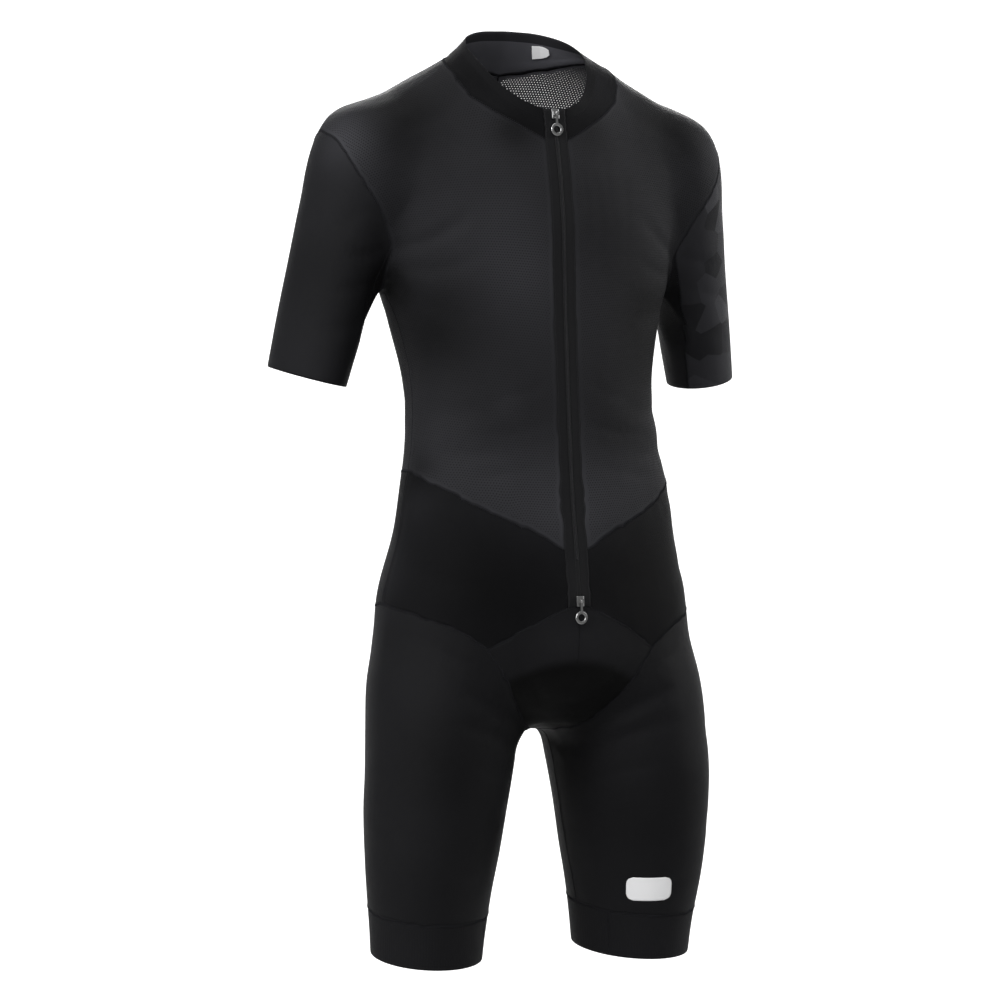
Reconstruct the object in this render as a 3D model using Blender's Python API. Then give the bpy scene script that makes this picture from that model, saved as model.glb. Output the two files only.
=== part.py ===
"""A short-sleeved road cycling skinsuit, worn form, empty inside.

Metres, +Z up. The front faces -Y and the wearer's left is +X. The origin lies on the middle line
at the height of the shoulder tops, where the wearer carries the garment.

A smooth general figure (form) is given by a few tables of sections. Each pattern piece is a loop
of seams drawn on that form, filled with an even net of points and given a cloth wall inwards.
Neighbouring pieces share the same seam points, each drawn back by half the seam gap.
"""
import math

import bmesh
import bpy
import numpy as np
from mathutils import Matrix, Vector
from mathutils.geometry import delaunay_2d_cdt

# ---------------------------------------------------------------- driving sizes
CLOTH = 0.0016              # wall of the cloth
SEAM_GAP = 0.0003           # between the cut edges of two pieces that are sewn together
SEAM_STEP = 0.0165          # between points along a seam
NET_ACROSS = 0.0155         # between points of a panel's net, around the body
NET_ALONG = 0.027           # and along it
NET_CLEAR = 0.55            # of NET_ACROSS, from a piece's edge to the net inside it
NET_SLACK = 0.0011          # a triangle's middle may lie this far off the form before it is split
BIGGEST = 0.00033           # area over which every triangle is split
THIN_FAULT = 0.006          # weight of a triangle's thinness beside its tilt off the form
LEAST_GAIN = 0.002          # an edge turns only for more than this
SMALLEST = 0.00008          # area under which no triangle is split
FINE_REACH = 0.060          # how far seam points stay closer from a fine end
FINE = 0.5                  # their share of the step there
RIM_CUT = np.array((0.31, 0.55, 0.78))      # rims of neighbours are cut along the same diagonals

COLLAR_ROWS = 4             # steps up the collar
ZIP_HALF = 0.0128           # half the width of the zip with its two tapes
COIL_HALF = 0.0021          # half the width of the closed coil
COIL_WALL = 0.0022          # the coil stands proud of the tapes
COIL_PROUD = 0.0005
ZIP_END = -0.529            # height of the zip's lower end
ZIP_STEP = 0.0165           # between points down the zip

SLIDER = (0.0080, 0.0105, 0.0019)       # width, length and thickness of a slider's plate
SLIDER_EDGE = 0.0006                    # rounding of its edges
SLIDER_GAP = 0.0003                     # under it, and beside the pull's eye
SUNK = 0.0005                           # how far small solids reach into each other before they fuse
UPPER_SLIDER_DOWN = 0.0065              # from the collar's top edge to the upper slider's middle
LOWER_SLIDER_UP = 0.0065                # from the zip's end to the lower slider's middle
PIN_HEIGHT = 0.0044                     # of the pull's pin over the coil
PIN_RADIUS = 0.0007
EYE = (0.0010, 0.0018)                  # inner and outer radius of the pull's eye
EYE_WIDTH = 0.0026
LUG = (0.0012, 0.0040, 0.0033)          # the lugs that hold the pin: width, length, height
PULL_RING = (0.0038, 0.0066)            # inner and outer radius of the pull's ring
PULL_REACH = 0.0168                     # from the pin to the ring's middle
PULL_THICK = 0.0015
STEM_WIDTH = 0.0024
STEM_THICK = 0.0013
UPPER_PULL_LEAN = 6.5                   # degrees that the upper pull leans in to rest on the zip

TAG = (0.0170, 0.0170, 0.0008)          # width, height and thickness of the tag inside the collar
TAG_MIDDLE_X = 0.040
TAG_MIDDLE_UP = 0.52                    # share of the collar's height
TAG_STRAIGHT = 0.45                     # share of its width before its rounded end begins
TAG_ROUND = 0.62                        # and the rounded end's own reach
TAG_COLUMNS, TAG_ROWS = 7, 5

GRIPPER_TALL = 0.047        # leg band
HEM_CENTRE_Z = -0.888
HEM_SLOPE = 0.155           # the hem is lower in front
LEG_RING = 26               # points round a leg band
BAND_SEAM = 3               # which of them the band's short seam starts at
CUFF_RING = 22              # points round a cuff
CUFF_SEAMS = (14, 6)        # which of them the sleeve's front and back seams end at

CUFF_ALONG = 0.2255         # from the shoulder's centre down the arm to the cuff


def table(columns, rows):
    """A table's columns by name, each as an array."""
    return {name: np.array(values, float) for name, values in zip(columns.split(), zip(*rows))}


# ---------------------------------------------------------------- sections of the general figure
# Each row is one level section: half its width, and how far it reaches forward and back.
TRUNK = table("at half front back", [
    (-0.640, 0.078, -0.082, 0.062),
    (-0.605, 0.118, -0.110, 0.086),
    (-0.570, 0.140, -0.121, 0.100),
    (-0.540, 0.1495, -0.125, 0.105),
    (-0.480, 0.1505, -0.119, 0.096),
    (-0.420, 0.1460, -0.109, 0.080),
    (-0.360, 0.1350, -0.102, 0.087),
    (-0.300, 0.1320, -0.097, 0.102),
    (-0.240, 0.1435, -0.092, 0.116),
    (-0.180, 0.1590, -0.089, 0.123),
    (-0.130, 0.1600, -0.086, 0.121),
    (-0.080, 0.1500, -0.073, 0.110),
    (-0.040, 0.1250, -0.050, 0.092),
    (0.000, 0.0800, -0.025, 0.072),
])
TRUNK_ROUNDNESS = 2.25      # a little squarer than an ellipse
YOKE_ROUNDNESS = 2.1

# Shoulder girdle: sections across X, by distance from the middle.
YOKE = table("at centre_y centre_z half_y half_z", [
    (0.000, 0.028, -0.062, 0.066, 0.095),
    (0.050, 0.028, -0.062, 0.066, 0.095),
    (0.085, 0.027, -0.062, 0.066, 0.092),
    (0.115, 0.026, -0.063, 0.066, 0.082),
    (0.145, 0.025, -0.066, 0.063, 0.069),
    (0.180, 0.023, -0.073, 0.060, 0.0605),
    (0.230, 0.022, -0.080, 0.050, 0.050),
])
YOKE_END = 0.210

NECK = table("at centre_y half_x half_y", [
    (-0.080, 0.014, 0.076, 0.062),
    (-0.040, 0.008, 0.072, 0.060),
    (0.000, 0.003, 0.067, 0.058),
    (0.050, -0.002, 0.062, 0.056),
    (0.100, -0.006, 0.060, 0.055),
])

# Left arm: sections square to the line from the shoulder's centre to the cuff's centre.
SHOULDER = np.array((0.1815, 0.0225, -0.0750))
CUFF = np.array((0.2260, 0.0545, -0.2930))
ARM = table("at half_out half_deep", [
    (-0.020, 0.0430, 0.0540),
    (0.000, 0.0450, 0.0575),
    (0.050, 0.0440, 0.0575),
    (0.110, 0.0405, 0.0565),
    (0.180, 0.0375, 0.0540),
    (0.225, 0.0350, 0.0510),
    (0.260, 0.0330, 0.0480),
])
ARM_TURN = 16.0             # degrees that the arm's long section axis turns out at the back
ARM_TOP = 0.052             # how far the arm's form reaches above the shoulder's centre

# Left leg: level sections.
LEG = table("at centre_x centre_y half_x half_y", [
    (-0.950, 0.1160, 0.002, 0.0550, 0.0620),
    (-0.900, 0.1160, -0.001, 0.0570, 0.0640),
    (-0.860, 0.1157, -0.004, 0.0600, 0.0690),
    (-0.818, 0.1155, -0.008, 0.0648, 0.0770),
    (-0.777, 0.1135, -0.011, 0.0698, 0.0840),
    (-0.735, 0.1110, -0.013, 0.0738, 0.0890),
    (-0.700, 0.1075, -0.014, 0.0760, 0.0935),
    (-0.660, 0.1030, -0.0105, 0.0785, 0.0960),
    (-0.600, 0.0980, -0.004, 0.0785, 0.0950),
    (-0.550, 0.0940, 0.002, 0.0700, 0.0850),
    (-0.480, 0.0850, 0.000, 0.0620, 0.0720),
])
LEG_TURN = -19.0            # degrees that the leg's long section axis turns in at the back

# Between the legs: sections across Y, by distance to the back.
SADDLE = table("at centre_z half_x half_z", [
    (-0.100, -0.566, 0.044, 0.042),
    (-0.060, -0.584, 0.042, 0.053),
    (0.000, -0.592, 0.038, 0.056),
    (0.050, -0.586, 0.040, 0.054),
    (0.100, -0.566, 0.044, 0.046),
])

# How softly each form runs into the last, and how softly a form's ends are rounded.
BLEND_SHOULDER = 0.050
BLEND_NECK = 0.055
BLEND_ARM = 0.026
BLEND_HIP = 0.040
BLEND_LEGS = 0.036
BLEND_SADDLE = 0.030
BLEND_END = 0.050
TINY = 1e-9
MIRROR = np.array((-1.0, 1.0, 1.0))


# ---------------------------------------------------------------- small maths
def smooth_read(at, known, values):
    """Values between a table's rows, on a smooth curve through them."""
    at = np.clip(at, known[0], known[-1])
    slope = np.gradient(values, known)
    i = np.clip(np.searchsorted(known, at) - 1, 0, len(known) - 2)
    step = known[i + 1] - known[i]
    t = (at - known[i]) / step
    return ((2 * t**3 - 3 * t**2 + 1) * values[i] + (t**3 - 2 * t**2 + t) * step * slope[i]
            + (3 * t**2 - 2 * t**3) * values[i + 1] + (t**3 - t**2) * step * slope[i + 1])


def read(rows, column, at):
    return smooth_read(at, rows["at"], rows[column])


def union(a, b, softness):
    """The nearer of two distances, with a fillet where they are alike."""
    share = np.clip(softness - np.abs(a - b), 0, None) / softness
    return np.minimum(a, b) - share**2 * softness / 4


def cut(a, b, softness):
    return -union(-a, -b, softness)


def beyond(across, deep, half_across, half_deep, roundness=2.0):
    """How far a point lies outside a round section, measured from its centre."""
    reach = np.maximum(np.hypot(across, deep), TINY)
    edge = (np.abs(across / reach / half_across)**roundness
            + np.abs(deep / reach / half_deep)**roundness)**(-1 / roundness)
    return reach - edge


def turned(across, deep, degrees):
    c, s = math.cos(math.radians(degrees)), math.sin(math.radians(degrees))
    return across * c - deep * s, across * s + deep * c


def unit(vectors):
    return vectors / np.maximum(np.linalg.norm(vectors, axis=-1, keepdims=True), TINY)


ARM_DOWN = unit(CUFF - SHOULDER)
ARM_BACK = unit(np.cross(ARM_DOWN, (1.0, 0.0, 0.0)))
if ARM_BACK[1] < 0:
    ARM_BACK = -ARM_BACK
ARM_OUT = np.cross(ARM_BACK, ARM_DOWN)
if ARM_OUT[0] < 0:
    ARM_OUT = -ARM_OUT


# ---------------------------------------------------------------- the form
def trunk(x, y, z):
    front, back = read(TRUNK, "front", z), read(TRUNK, "back", z)
    middle = (front + back) / 2
    side = beyond(x, y - middle, read(TRUNK, "half", z), (back - front) / 2, TRUNK_ROUNDNESS)
    return cut(cut(side, TRUNK["at"][0] - z, BLEND_END), z - TRUNK["at"][-1], BLEND_END)


def yoke(x, y, z):
    round_it = beyond(y - read(YOKE, "centre_y", x), z - read(YOKE, "centre_z", x),
                      read(YOKE, "half_y", x), read(YOKE, "half_z", x), YOKE_ROUNDNESS)
    return cut(round_it, x - YOKE_END, BLEND_END)


def neck(x, y, z):
    side = beyond(x, y - read(NECK, "centre_y", z), read(NECK, "half_x", z), read(NECK, "half_y", z))
    return cut(side, NECK["at"][0] - z, BLEND_END)


def arm(x, y, z):
    from_top = np.stack((x, y, z), -1) - SHOULDER
    along = from_top @ ARM_DOWN
    out, back = turned(from_top @ ARM_OUT, from_top @ ARM_BACK, ARM_TURN)
    side = beyond(out, back, read(ARM, "half_out", along), read(ARM, "half_deep", along))
    return cut(side, -along - ARM_TOP, BLEND_END)


def leg(x, y, z):
    out, back = turned(x - read(LEG, "centre_x", z), y - read(LEG, "centre_y", z), LEG_TURN)
    side = beyond(out, back, read(LEG, "half_x", z), read(LEG, "half_y", z))
    return cut(side, z - LEG["at"][-1], BLEND_END)


def saddle(x, y, z):
    height = z - read(SADDLE, "centre_z", y)
    side = beyond(x, height, read(SADDLE, "half_x", y), read(SADDLE, "half_z", y))
    return cut(side, np.abs(y) - SADDLE["at"][-1], BLEND_END)


def form(points):
    """About how far each point lies outside the general figure."""
    x, y, z = np.abs(points[:, 0]), points[:, 1], points[:, 2]
    upper = union(union(trunk(x, y, z), yoke(x, y, z), BLEND_SHOULDER), neck(x, y, z), BLEND_NECK)
    legs = union(leg(x, y, z), leg(-x, y, z), BLEND_LEGS)
    legs = union(legs, saddle(x, y, z), BLEND_SADDLE)
    return union(union(upper, arm(x, y, z), BLEND_ARM), legs, BLEND_HIP)


def steepest(points, step=0.0006):
    """The form's gradient."""
    shifts = np.eye(3) * step
    return np.stack([form(points + s) - form(points - s) for s in shifts], -1) / (2 * step)


def out_of(points):
    return unit(steepest(points))


def onto(points, rounds=8, flattest=0.05, longest=0.02):
    """Points moved straight onto the form, in steps no longer than the longest."""
    points = np.array(points, float)
    for _ in range(rounds):
        gradient = steepest(points)
        size = np.maximum((gradient**2).sum(-1, keepdims=True), flattest)
        move = form(points)[:, None] * gradient / size
        points = points - np.clip(move, -longest, longest)
    return points


def shoot(cores, ways, start=0.012, reach=0.32, looks=60, rounds=40):
    """Where rays from inside the form first leave it."""
    steps = np.linspace(start, reach, looks)
    inside = np.stack([form(cores + ways * s) < 0 for s in steps])
    first = np.argmin(inside, 0)
    far = steps[first]
    near = steps[np.maximum(first - 1, 0)]
    for _ in range(rounds):
        middle = (near + far) / 2
        within = form(cores + ways * middle[:, None]) < 0
        near, far = np.where(within, middle, near), np.where(within, far, middle)
    return cores + ways * far[:, None]


# ---------------------------------------------------------------- how each piece unrolls flat
class Wrap:
    """A core line with round ends. A point flattens to its turn about the core and its place along."""

    def __init__(self, low, high, along, zero, third, radius, core):
        self.low, self.high = low, high
        self.along, self.zero, self.third = (np.array(v, float) for v in (along, zero, third))
        self.radius = radius
        self.core = core

    def flatten(self, loop):
        """Turn (unwrapped along the loop) and place of each point, both as lengths."""
        inner = np.clip(loop @ self.along, self.low, self.high)
        off = loop - self.core(inner)
        height = off @ self.along
        side = np.hypot(off @ self.zero, off @ self.third)
        turn = np.unwrap(np.arctan2(off @ self.third, off @ self.zero))
        rise = np.arctan2(height, side) * self.radius
        return np.stack((turn * self.radius, inner + rise), -1)

    def lift(self, flat):
        turn = flat[:, 0] / self.radius
        inner = np.clip(flat[:, 1], self.low, self.high)
        rise = (flat[:, 1] - inner) / self.radius
        level = self.zero * np.cos(turn)[:, None] + self.third * np.sin(turn)[:, None]
        ways = level * np.cos(rise)[:, None] + self.along * np.sin(rise)[:, None]
        return shoot(self.core(inner), unit(ways))


UP, FRONT, LEFT = (0, 0, 1), (0, -1, 0), (1, 0, 0)


def trunk_core(place):
    middle = (read(TRUNK, "front", place) + read(TRUNK, "back", place)) / 2
    return np.stack((middle * 0, middle, place), -1)


def leg_core(place):
    return np.stack((read(LEG, "centre_x", place), read(LEG, "centre_y", place), place), -1)


def arm_core(place):
    start = SHOULDER @ ARM_DOWN
    return SHOULDER + (place - start)[:, None] * ARM_DOWN


def crotch_core(place):
    level = np.ones_like(place)
    return np.stack((place, level * CROTCH_CORE[0], level * CROTCH_CORE[1]), -1)


CROTCH_CORE = (-0.010, -0.565)      # depth and height of the line that the gusset wraps round
ARM_START = float(SHOULDER @ ARM_DOWN)
TRUNK_WRAP = Wrap(-0.56, -0.105, UP, FRONT, LEFT, 0.130, trunk_core)
LEG_WRAP = Wrap(-1.0, -0.600, UP, LEFT, (0, 1, 0), 0.085, leg_core)
ARM_WRAP = Wrap(ARM_START + 0.004, 1.0, ARM_DOWN, ARM_OUT, ARM_BACK, 0.050, arm_core)
CROTCH_WRAP = Wrap(-0.2, 0.2, LEFT, FRONT, (0, 0, -1), 0.100, crotch_core)


# ---------------------------------------------------------------- seams
def lengths(points):
    """The run along a line to each of its points."""
    return np.concatenate(([0], np.cumsum(np.linalg.norm(np.diff(points, axis=0), axis=1))))


def spaced(points, step, fine_start=1.0, fine_end=1.0):
    """The same line with its points about one step apart, closer by the given shares at its ends."""
    points = np.asarray(points, float)
    run = lengths(points)
    dense = np.linspace(0, run[-1], 400)
    share = np.minimum(fine_start + (1 - fine_start) * dense / FINE_REACH,
                       fine_end + (1 - fine_end) * (run[-1] - dense) / FINE_REACH)
    density = 1 / (step * np.clip(share, 0, 1))
    total = np.concatenate(([0], np.cumsum((density[1:] + density[:-1]) / 2 * np.diff(dense))))
    count = max(2, int(round(total[-1])) + 1)
    at = np.interp(np.linspace(0, total[-1], count), total, dense)
    return np.stack([np.interp(at, run, points[:, k]) for k in range(3)], -1)


def through(marks, per_span=14):
    """A smooth line through marks."""
    marks = np.asarray(marks, float)
    if len(marks) == 2:
        return marks[0] + np.linspace(0, 1, per_span)[:, None] * (marks[1] - marks[0])
    run = lengths(marks)
    at = np.linspace(0, run[-1], per_span * len(marks))
    return np.stack([smooth_read(at, run, marks[:, k]) for k in range(3)], -1)


def seam(*marks, step=SEAM_STEP, **ends):
    """A seam on the form, drawn through marks that lie near it."""
    line = onto(through(marks))
    return onto(spaced(line, step, **ends))


def zip_rail(x, z_from, z_to):
    """A line down the front of the body at a fixed distance from the middle."""
    count = max(2, int(round(abs(z_to - z_from) / ZIP_STEP)) + 1)
    z = np.linspace(z_from, z_to, count)
    cores = np.stack((np.full(count, x), np.zeros(count), z), -1)
    return shoot(cores, np.tile(FRONT, (count, 1)).astype(float))


def leg_ring(height_above_hem, count=LEG_RING):
    """Points round the left leg, level with its sloping hem, from the inner side by the front."""
    turns = np.radians(-180.0 + np.arange(count) * 360.0 / count)
    level = HEM_CENTRE_Z + height_above_hem
    centre = leg_core(np.array([level]))[0]
    ways = np.stack((np.cos(turns), np.sin(turns), np.sin(turns) * HEM_SLOPE), -1)
    return shoot(np.tile(centre, (count, 1)), unit(ways))


def cuff_ring(count=CUFF_RING):
    turns = np.radians(np.arange(count) * 360.0 / count)
    ways = np.cos(turns)[:, None] * ARM_OUT + np.sin(turns)[:, None] * ARM_BACK
    centre = SHOULDER + ARM_DOWN * CUFF_ALONG
    return shoot(np.tile(centre, (count, 1)), ways)


# Marks of the left half, near the form: distance from the middle, depth and height.
NECK_FRONT_Z = -0.0515
NECK_MARKS = [(0.032, -0.067, -0.040), (0.056, -0.055, -0.026), (0.075, -0.040, -0.0125),
              (0.086, -0.022, 0.004), (0.0900, -0.002, 0.0205)]
NECK_SIDE = (0.0870, 0.020, 0.0350)
NECK_BACK_MARKS = [(0.070, 0.047, 0.037), (0.042, 0.064, 0.030)]
NECK_BACK = (0.0, 0.074, 0.0235)
COLLAR_TOP = [(0.0128, -0.0635, -0.0185), (0.030, -0.0565, -0.0110), (0.048, -0.037, 0.0070),
              (0.061, -0.010, 0.0330), (0.0640, 0.012, 0.0480), (0.057, 0.034, 0.0600),
              (0.034, 0.052, 0.0690), (0.0, 0.058, 0.0715)]     # its upper edge, left half
SHOULDER_MARKS = [(0.125, 0.034, 0.007), (0.175, 0.040, -0.013)]
SHOULDER_TIP = (0.2210, 0.036, -0.040)
ARMHOLE_FRONT = [(0.212, -0.006, -0.057), (0.2005, -0.022, -0.082), (0.186, -0.030, -0.112),
                 (0.1720, -0.028, -0.138)]
SLEEVE_FRONT = (0.1610, -0.012, -0.159)
ARMPIT = (0.1560, 0.022, -0.172)
SLEEVE_BACK = (0.1620, 0.056, -0.160)
ARMHOLE_BACK = [(0.1720, 0.078, -0.138), (0.188, 0.083, -0.105), (0.204, 0.072, -0.072)]
SIDE_MARKS = [(0.154, 0.010, -0.230), (0.135, 0.000, -0.310)]
WAIST_SIDE = (0.1400, -0.012, -0.390)
HIP_SIDE_MARKS = [(0.157, -0.010, -0.450)]
HIP_SIDE = (0.1690, -0.004, -0.526)
V_FRONT_Z = -0.4700
V_MARKS = [(0.040, -0.112, -0.4545), (0.070, -0.105, -0.4410), (0.100, -0.088, -0.4250),
           (0.125, -0.058, -0.4070)]
WAIST_BACK_MARKS = [(0.105, 0.055, -0.396), (0.055, 0.078, -0.402)]
WAIST_BACK = (0.0, 0.084, -0.405)
HIP_CORNER = (0.0890, -0.094, -0.570)
HIP_FRONT_MARKS = [(0.150, -0.055, -0.536), (0.124, -0.080, -0.547), (0.105, -0.092, -0.559)]
ARCH_MARKS = [(0.058, -0.112, -0.5510), (0.030, -0.119, -0.5370)]
HIP_BACK_MARKS = [(0.135, 0.070, -0.534), (0.080, 0.102, -0.543)]
SEAT_TOP = (0.0, 0.112, -0.548)
KITE_MARKS = [(0.069, -0.102, -0.6050), (0.044, -0.075, -0.6400), (0.016, -0.032, -0.6560)]
CROTCH = (0.0, 0.004, -0.6580)
SEAT_MARKS = [(0.0, 0.098, -0.600), (0.0, 0.060, -0.643)]
INNER_LEG_MARKS = [(0.026, 0.000, -0.690), (0.041, 0.000, -0.760)]
BACK_MARKS = [(0.0, 0.110, -0.080), (0.0, 0.123, -0.170), (0.0, 0.110, -0.270), (0.0, 0.088, -0.350)]
HIP_BACK_MIDDLE_MARKS = [(0.0, 0.098, -0.480)]


def joined(*lines):
    """One open line from several that meet end to end."""
    parts = [np.asarray(line)[:-1] for line in lines[:-1]] + [np.asarray(lines[-1])]
    return np.vstack(parts)


def pinned(line, start=None, end=None):
    """A line whose ends are exactly the given points."""
    line = np.array(line)
    if start is not None:
        line[0] = start
    if end is not None:
        line[-1] = end
    return line


def draw_seams():
    """Every seam line of the left half."""
    s = {}
    zip_edge = zip_rail(ZIP_HALF, NECK_FRONT_Z, V_FRONT_Z)
    zip_low = zip_rail(ZIP_HALF, V_FRONT_Z, ZIP_END)
    s["zip_edge"], s["zip_low"] = zip_edge, zip_low
    p = {name: onto([mark])[0] for name, mark in (
        ("neck_side", NECK_SIDE), ("shoulder_tip", SHOULDER_TIP), ("sleeve_front", SLEEVE_FRONT),
        ("armpit", ARMPIT), ("sleeve_back", SLEEVE_BACK), ("waist_side", WAIST_SIDE),
        ("hip_side", HIP_SIDE), ("hip_corner", HIP_CORNER), ("crotch", CROTCH),
        ("neck_back", NECK_BACK), ("waist_back", WAIST_BACK), ("seat_top", SEAT_TOP))}

    def run(start, marks, end, **ends):
        return pinned(seam(start, *marks, end, **ends), start, end)

    s["neck_front"] = run(zip_edge[0], NECK_MARKS, p["neck_side"])
    s["neck_back"] = run(p["neck_side"], NECK_BACK_MARKS, p["neck_back"])
    s["shoulder"] = run(p["neck_side"], SHOULDER_MARKS, p["shoulder_tip"])
    s["arm_front"] = run(p["shoulder_tip"], ARMHOLE_FRONT, p["sleeve_front"])
    s["arm_under_front"] = run(p["sleeve_front"], [], p["armpit"], fine_end=FINE)
    s["arm_under_back"] = run(p["armpit"], [], p["sleeve_back"], fine_start=FINE)
    s["arm_back"] = run(p["sleeve_back"], ARMHOLE_BACK, p["shoulder_tip"])
    s["side"] = run(p["armpit"], SIDE_MARKS, p["waist_side"], fine_start=FINE)
    s["hip_side"] = run(p["waist_side"], HIP_SIDE_MARKS, p["hip_side"])
    s["v"] = run(zip_edge[-1], V_MARKS, p["waist_side"])
    s["waist_back"] = run(p["waist_side"], WAIST_BACK_MARKS, p["waist_back"])
    s["back"] = run(p["neck_back"], BACK_MARKS, p["waist_back"])
    s["hip_back_middle"] = run(p["waist_back"], HIP_BACK_MIDDLE_MARKS, p["seat_top"])
    s["hip_front"] = run(p["hip_side"], HIP_FRONT_MARKS, p["hip_corner"])
    s["arch"] = run(p["hip_corner"], ARCH_MARKS, zip_low[-1])
    s["hip_back"] = run(p["hip_side"], HIP_BACK_MARKS, p["seat_top"])
    s["kite"] = run(p["hip_corner"], KITE_MARKS, p["crotch"], fine_end=FINE)
    s["seat"] = run(p["seat_top"], SEAT_MARKS, p["crotch"], fine_end=FINE)

    ring = leg_ring(GRIPPER_TALL)
    s["leg_ring"] = np.vstack((ring, ring[:1]))
    s["inner_leg"] = run(p["crotch"], INNER_LEG_MARKS, ring[0], fine_start=FINE)
    hem = leg_ring(0.0)
    s["hem_ring"] = np.vstack((hem, hem[:1]))

    cuff = cuff_ring()
    around = np.roll(cuff, -CUFF_SEAMS[0], axis=0)
    span = (CUFF_SEAMS[1] - CUFF_SEAMS[0]) % CUFF_RING
    s["cuff_outer"] = around[:span + 1]
    s["cuff_under"] = np.vstack((around[span:], around[:1]))
    s["sleeve_front"] = run(p["sleeve_front"], [], around[0])
    s["sleeve_back"] = run(p["sleeve_back"], [], around[span])
    return s


# ---------------------------------------------------------------- filling a loop with cloth
def inside_loop(points, loop):
    """Which flat points lie inside a closed flat loop."""
    x, y = points[:, 0][:, None], points[:, 1][:, None]
    x1, y1 = loop[:, 0], loop[:, 1]
    x2, y2 = np.roll(x1, -1), np.roll(y1, -1)
    crosses = (y1 > y) != (y2 > y)
    rise = np.where(y2 == y1, TINY, y2 - y1)
    return (crosses & (x < (x2 - x1) * (y - y1) / rise + x1)).sum(1) % 2 == 1


def off_loop(points, loop):
    """How far flat points lie from a closed flat loop."""
    a, b = loop, np.roll(loop, -1, axis=0)
    best = np.full(len(points), np.inf)
    for start, end in zip(a, b):
        along = end - start
        t = np.clip(((points - start) @ along) / max(along @ along, TINY), 0, 1)
        best = np.minimum(best, np.linalg.norm(points - start - t[:, None] * along, axis=1))
    return best


def lattice(flat, across):
    """Points of a staggered net inside a flat loop."""
    low, high = flat.min(0), flat.max(0)
    pitch = across * math.sqrt(3) / 2
    grid = []
    for row in range(int((high[1] - low[1]) / pitch) + 1):
        start = low[0] + across * (0.25 + 0.5 * (row % 2))
        for column in range(int((high[0] - start) / across) + 1):
            grid.append((start + column * across, low[1] + pitch * (row + 0.5)))
    grid = np.array(grid)
    grid = grid[inside_loop(grid, flat)]
    return grid[off_loop(grid, flat) > across * NET_CLEAR]


def triangulate(flat, grid):
    """Triangles over a flat loop and the points inside it."""
    count = len(flat)
    every = np.vstack((flat, grid))
    edges = [(i, (i + 1) % count) for i in range(count)]
    _, _, faces, origin, _, _ = delaunay_2d_cdt(
        [Vector(v) for v in every], edges, [list(range(count))], 1, TINY)
    where = [ids[0] for ids in origin]
    triangles = np.array([[where[i] for i in face] for face in faces])
    a, b, c = (every[triangles[:, k]] for k in range(3))
    twice = (b[:, 0] - a[:, 0]) * (c[:, 1] - a[:, 1]) - (b[:, 1] - a[:, 1]) * (c[:, 0] - a[:, 0])
    return np.where((twice > 0)[:, None], triangles, triangles[:, ::-1])


def too_coarse(points, triangles):
    """Triangles that are big and leave the form by more than the slack."""
    a, b, c = (points[triangles[:, k]] for k in range(3))
    area = np.linalg.norm(np.cross(b - a, c - a), axis=1) / 2
    off = np.abs(form((a + b + c) / 3))
    return ((off > NET_SLACK) & (area > SMALLEST)) | (area > BIGGEST)


def facing_out(points, triangles):
    """Triangles turned so that they face away from the form."""
    a, b, c = (points[triangles[:, k]] for k in range(3))
    facing = (np.cross(b - a, c - a) * out_of((a + b + c) / 3)).sum(1).sum()
    return triangles if facing > 0 else triangles[:, ::-1]


def faults(points, corners):
    """How badly each triangle fits the form: its tilt off it, and how thin it is."""
    a, b, c = (points[corners[:, k]] for k in range(3))
    normals = np.cross(b - a, c - a)
    twice = np.maximum(np.linalg.norm(normals, axis=1), TINY)
    tilt = 1 - (normals * steepest((a + b + c) / 3)).sum(1) / twice
    longest = np.max([((p - q)**2).sum(1) for p, q in ((a, b), (b, c), (c, a))], axis=0)
    return tilt + THIN_FAULT * longest / twice


def turn_edges(points, triangles, rounds=6):
    """The same net with each edge turned where the other diagonal fits the form better."""
    triangles = triangles.copy()
    for _ in range(rounds):
        starts = triangles.ravel()
        ends = np.roll(triangles, -1, axis=1).ravel()
        across = np.roll(triangles, -2, axis=1).ravel()
        owner = np.repeat(np.arange(len(triangles)), 3)
        keys = np.minimum(starts, ends) * len(points) + np.maximum(starts, ends)
        order = np.argsort(keys, kind="stable")
        same = np.nonzero(keys[order][1:] == keys[order][:-1])[0]
        one, two = order[same], order[same + 1]
        u, v, w, x = starts[one], ends[one], across[one], across[two]
        first, second = np.stack((u, x, w), -1), np.stack((x, v, w), -1)
        before = faults(points, triangles)
        gain = before[owner[one]] + before[owner[two]]
        gain -= faults(points, first) + faults(points, second)
        known = set(keys.tolist())
        touched = set()
        for k in np.argsort(-gain):
            if gain[k] < LEAST_GAIN:
                break
            fresh = min(w[k], x[k]) * len(points) + max(w[k], x[k])
            pair = {int(owner[one[k]]), int(owner[two[k]])}
            if fresh in known or pair & touched:
                continue
            triangles[owner[one[k]]], triangles[owner[two[k]]] = first[k], second[k]
            known.add(fresh)
            touched |= pair
        if not touched:
            break
    return triangles


def evened(points, triangles, count, steps=5):
    """The net with its inner points moved to the middle of their neighbours, on the form."""
    ends = np.vstack((triangles, triangles[:, ::-1]))
    ends = np.vstack((ends[:, (0, 1)], ends[:, (1, 2)], ends[:, (2, 0)]))
    near = np.bincount(ends[:, 0], minlength=len(points))[:, None]
    points = points.copy()
    for _ in range(steps):
        middle = np.stack([np.bincount(ends[:, 0], points[ends[:, 1], k], len(points))
                           for k in range(3)], -1) / near
        points[count:] = onto(middle[count:], 3)
    return points


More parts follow.
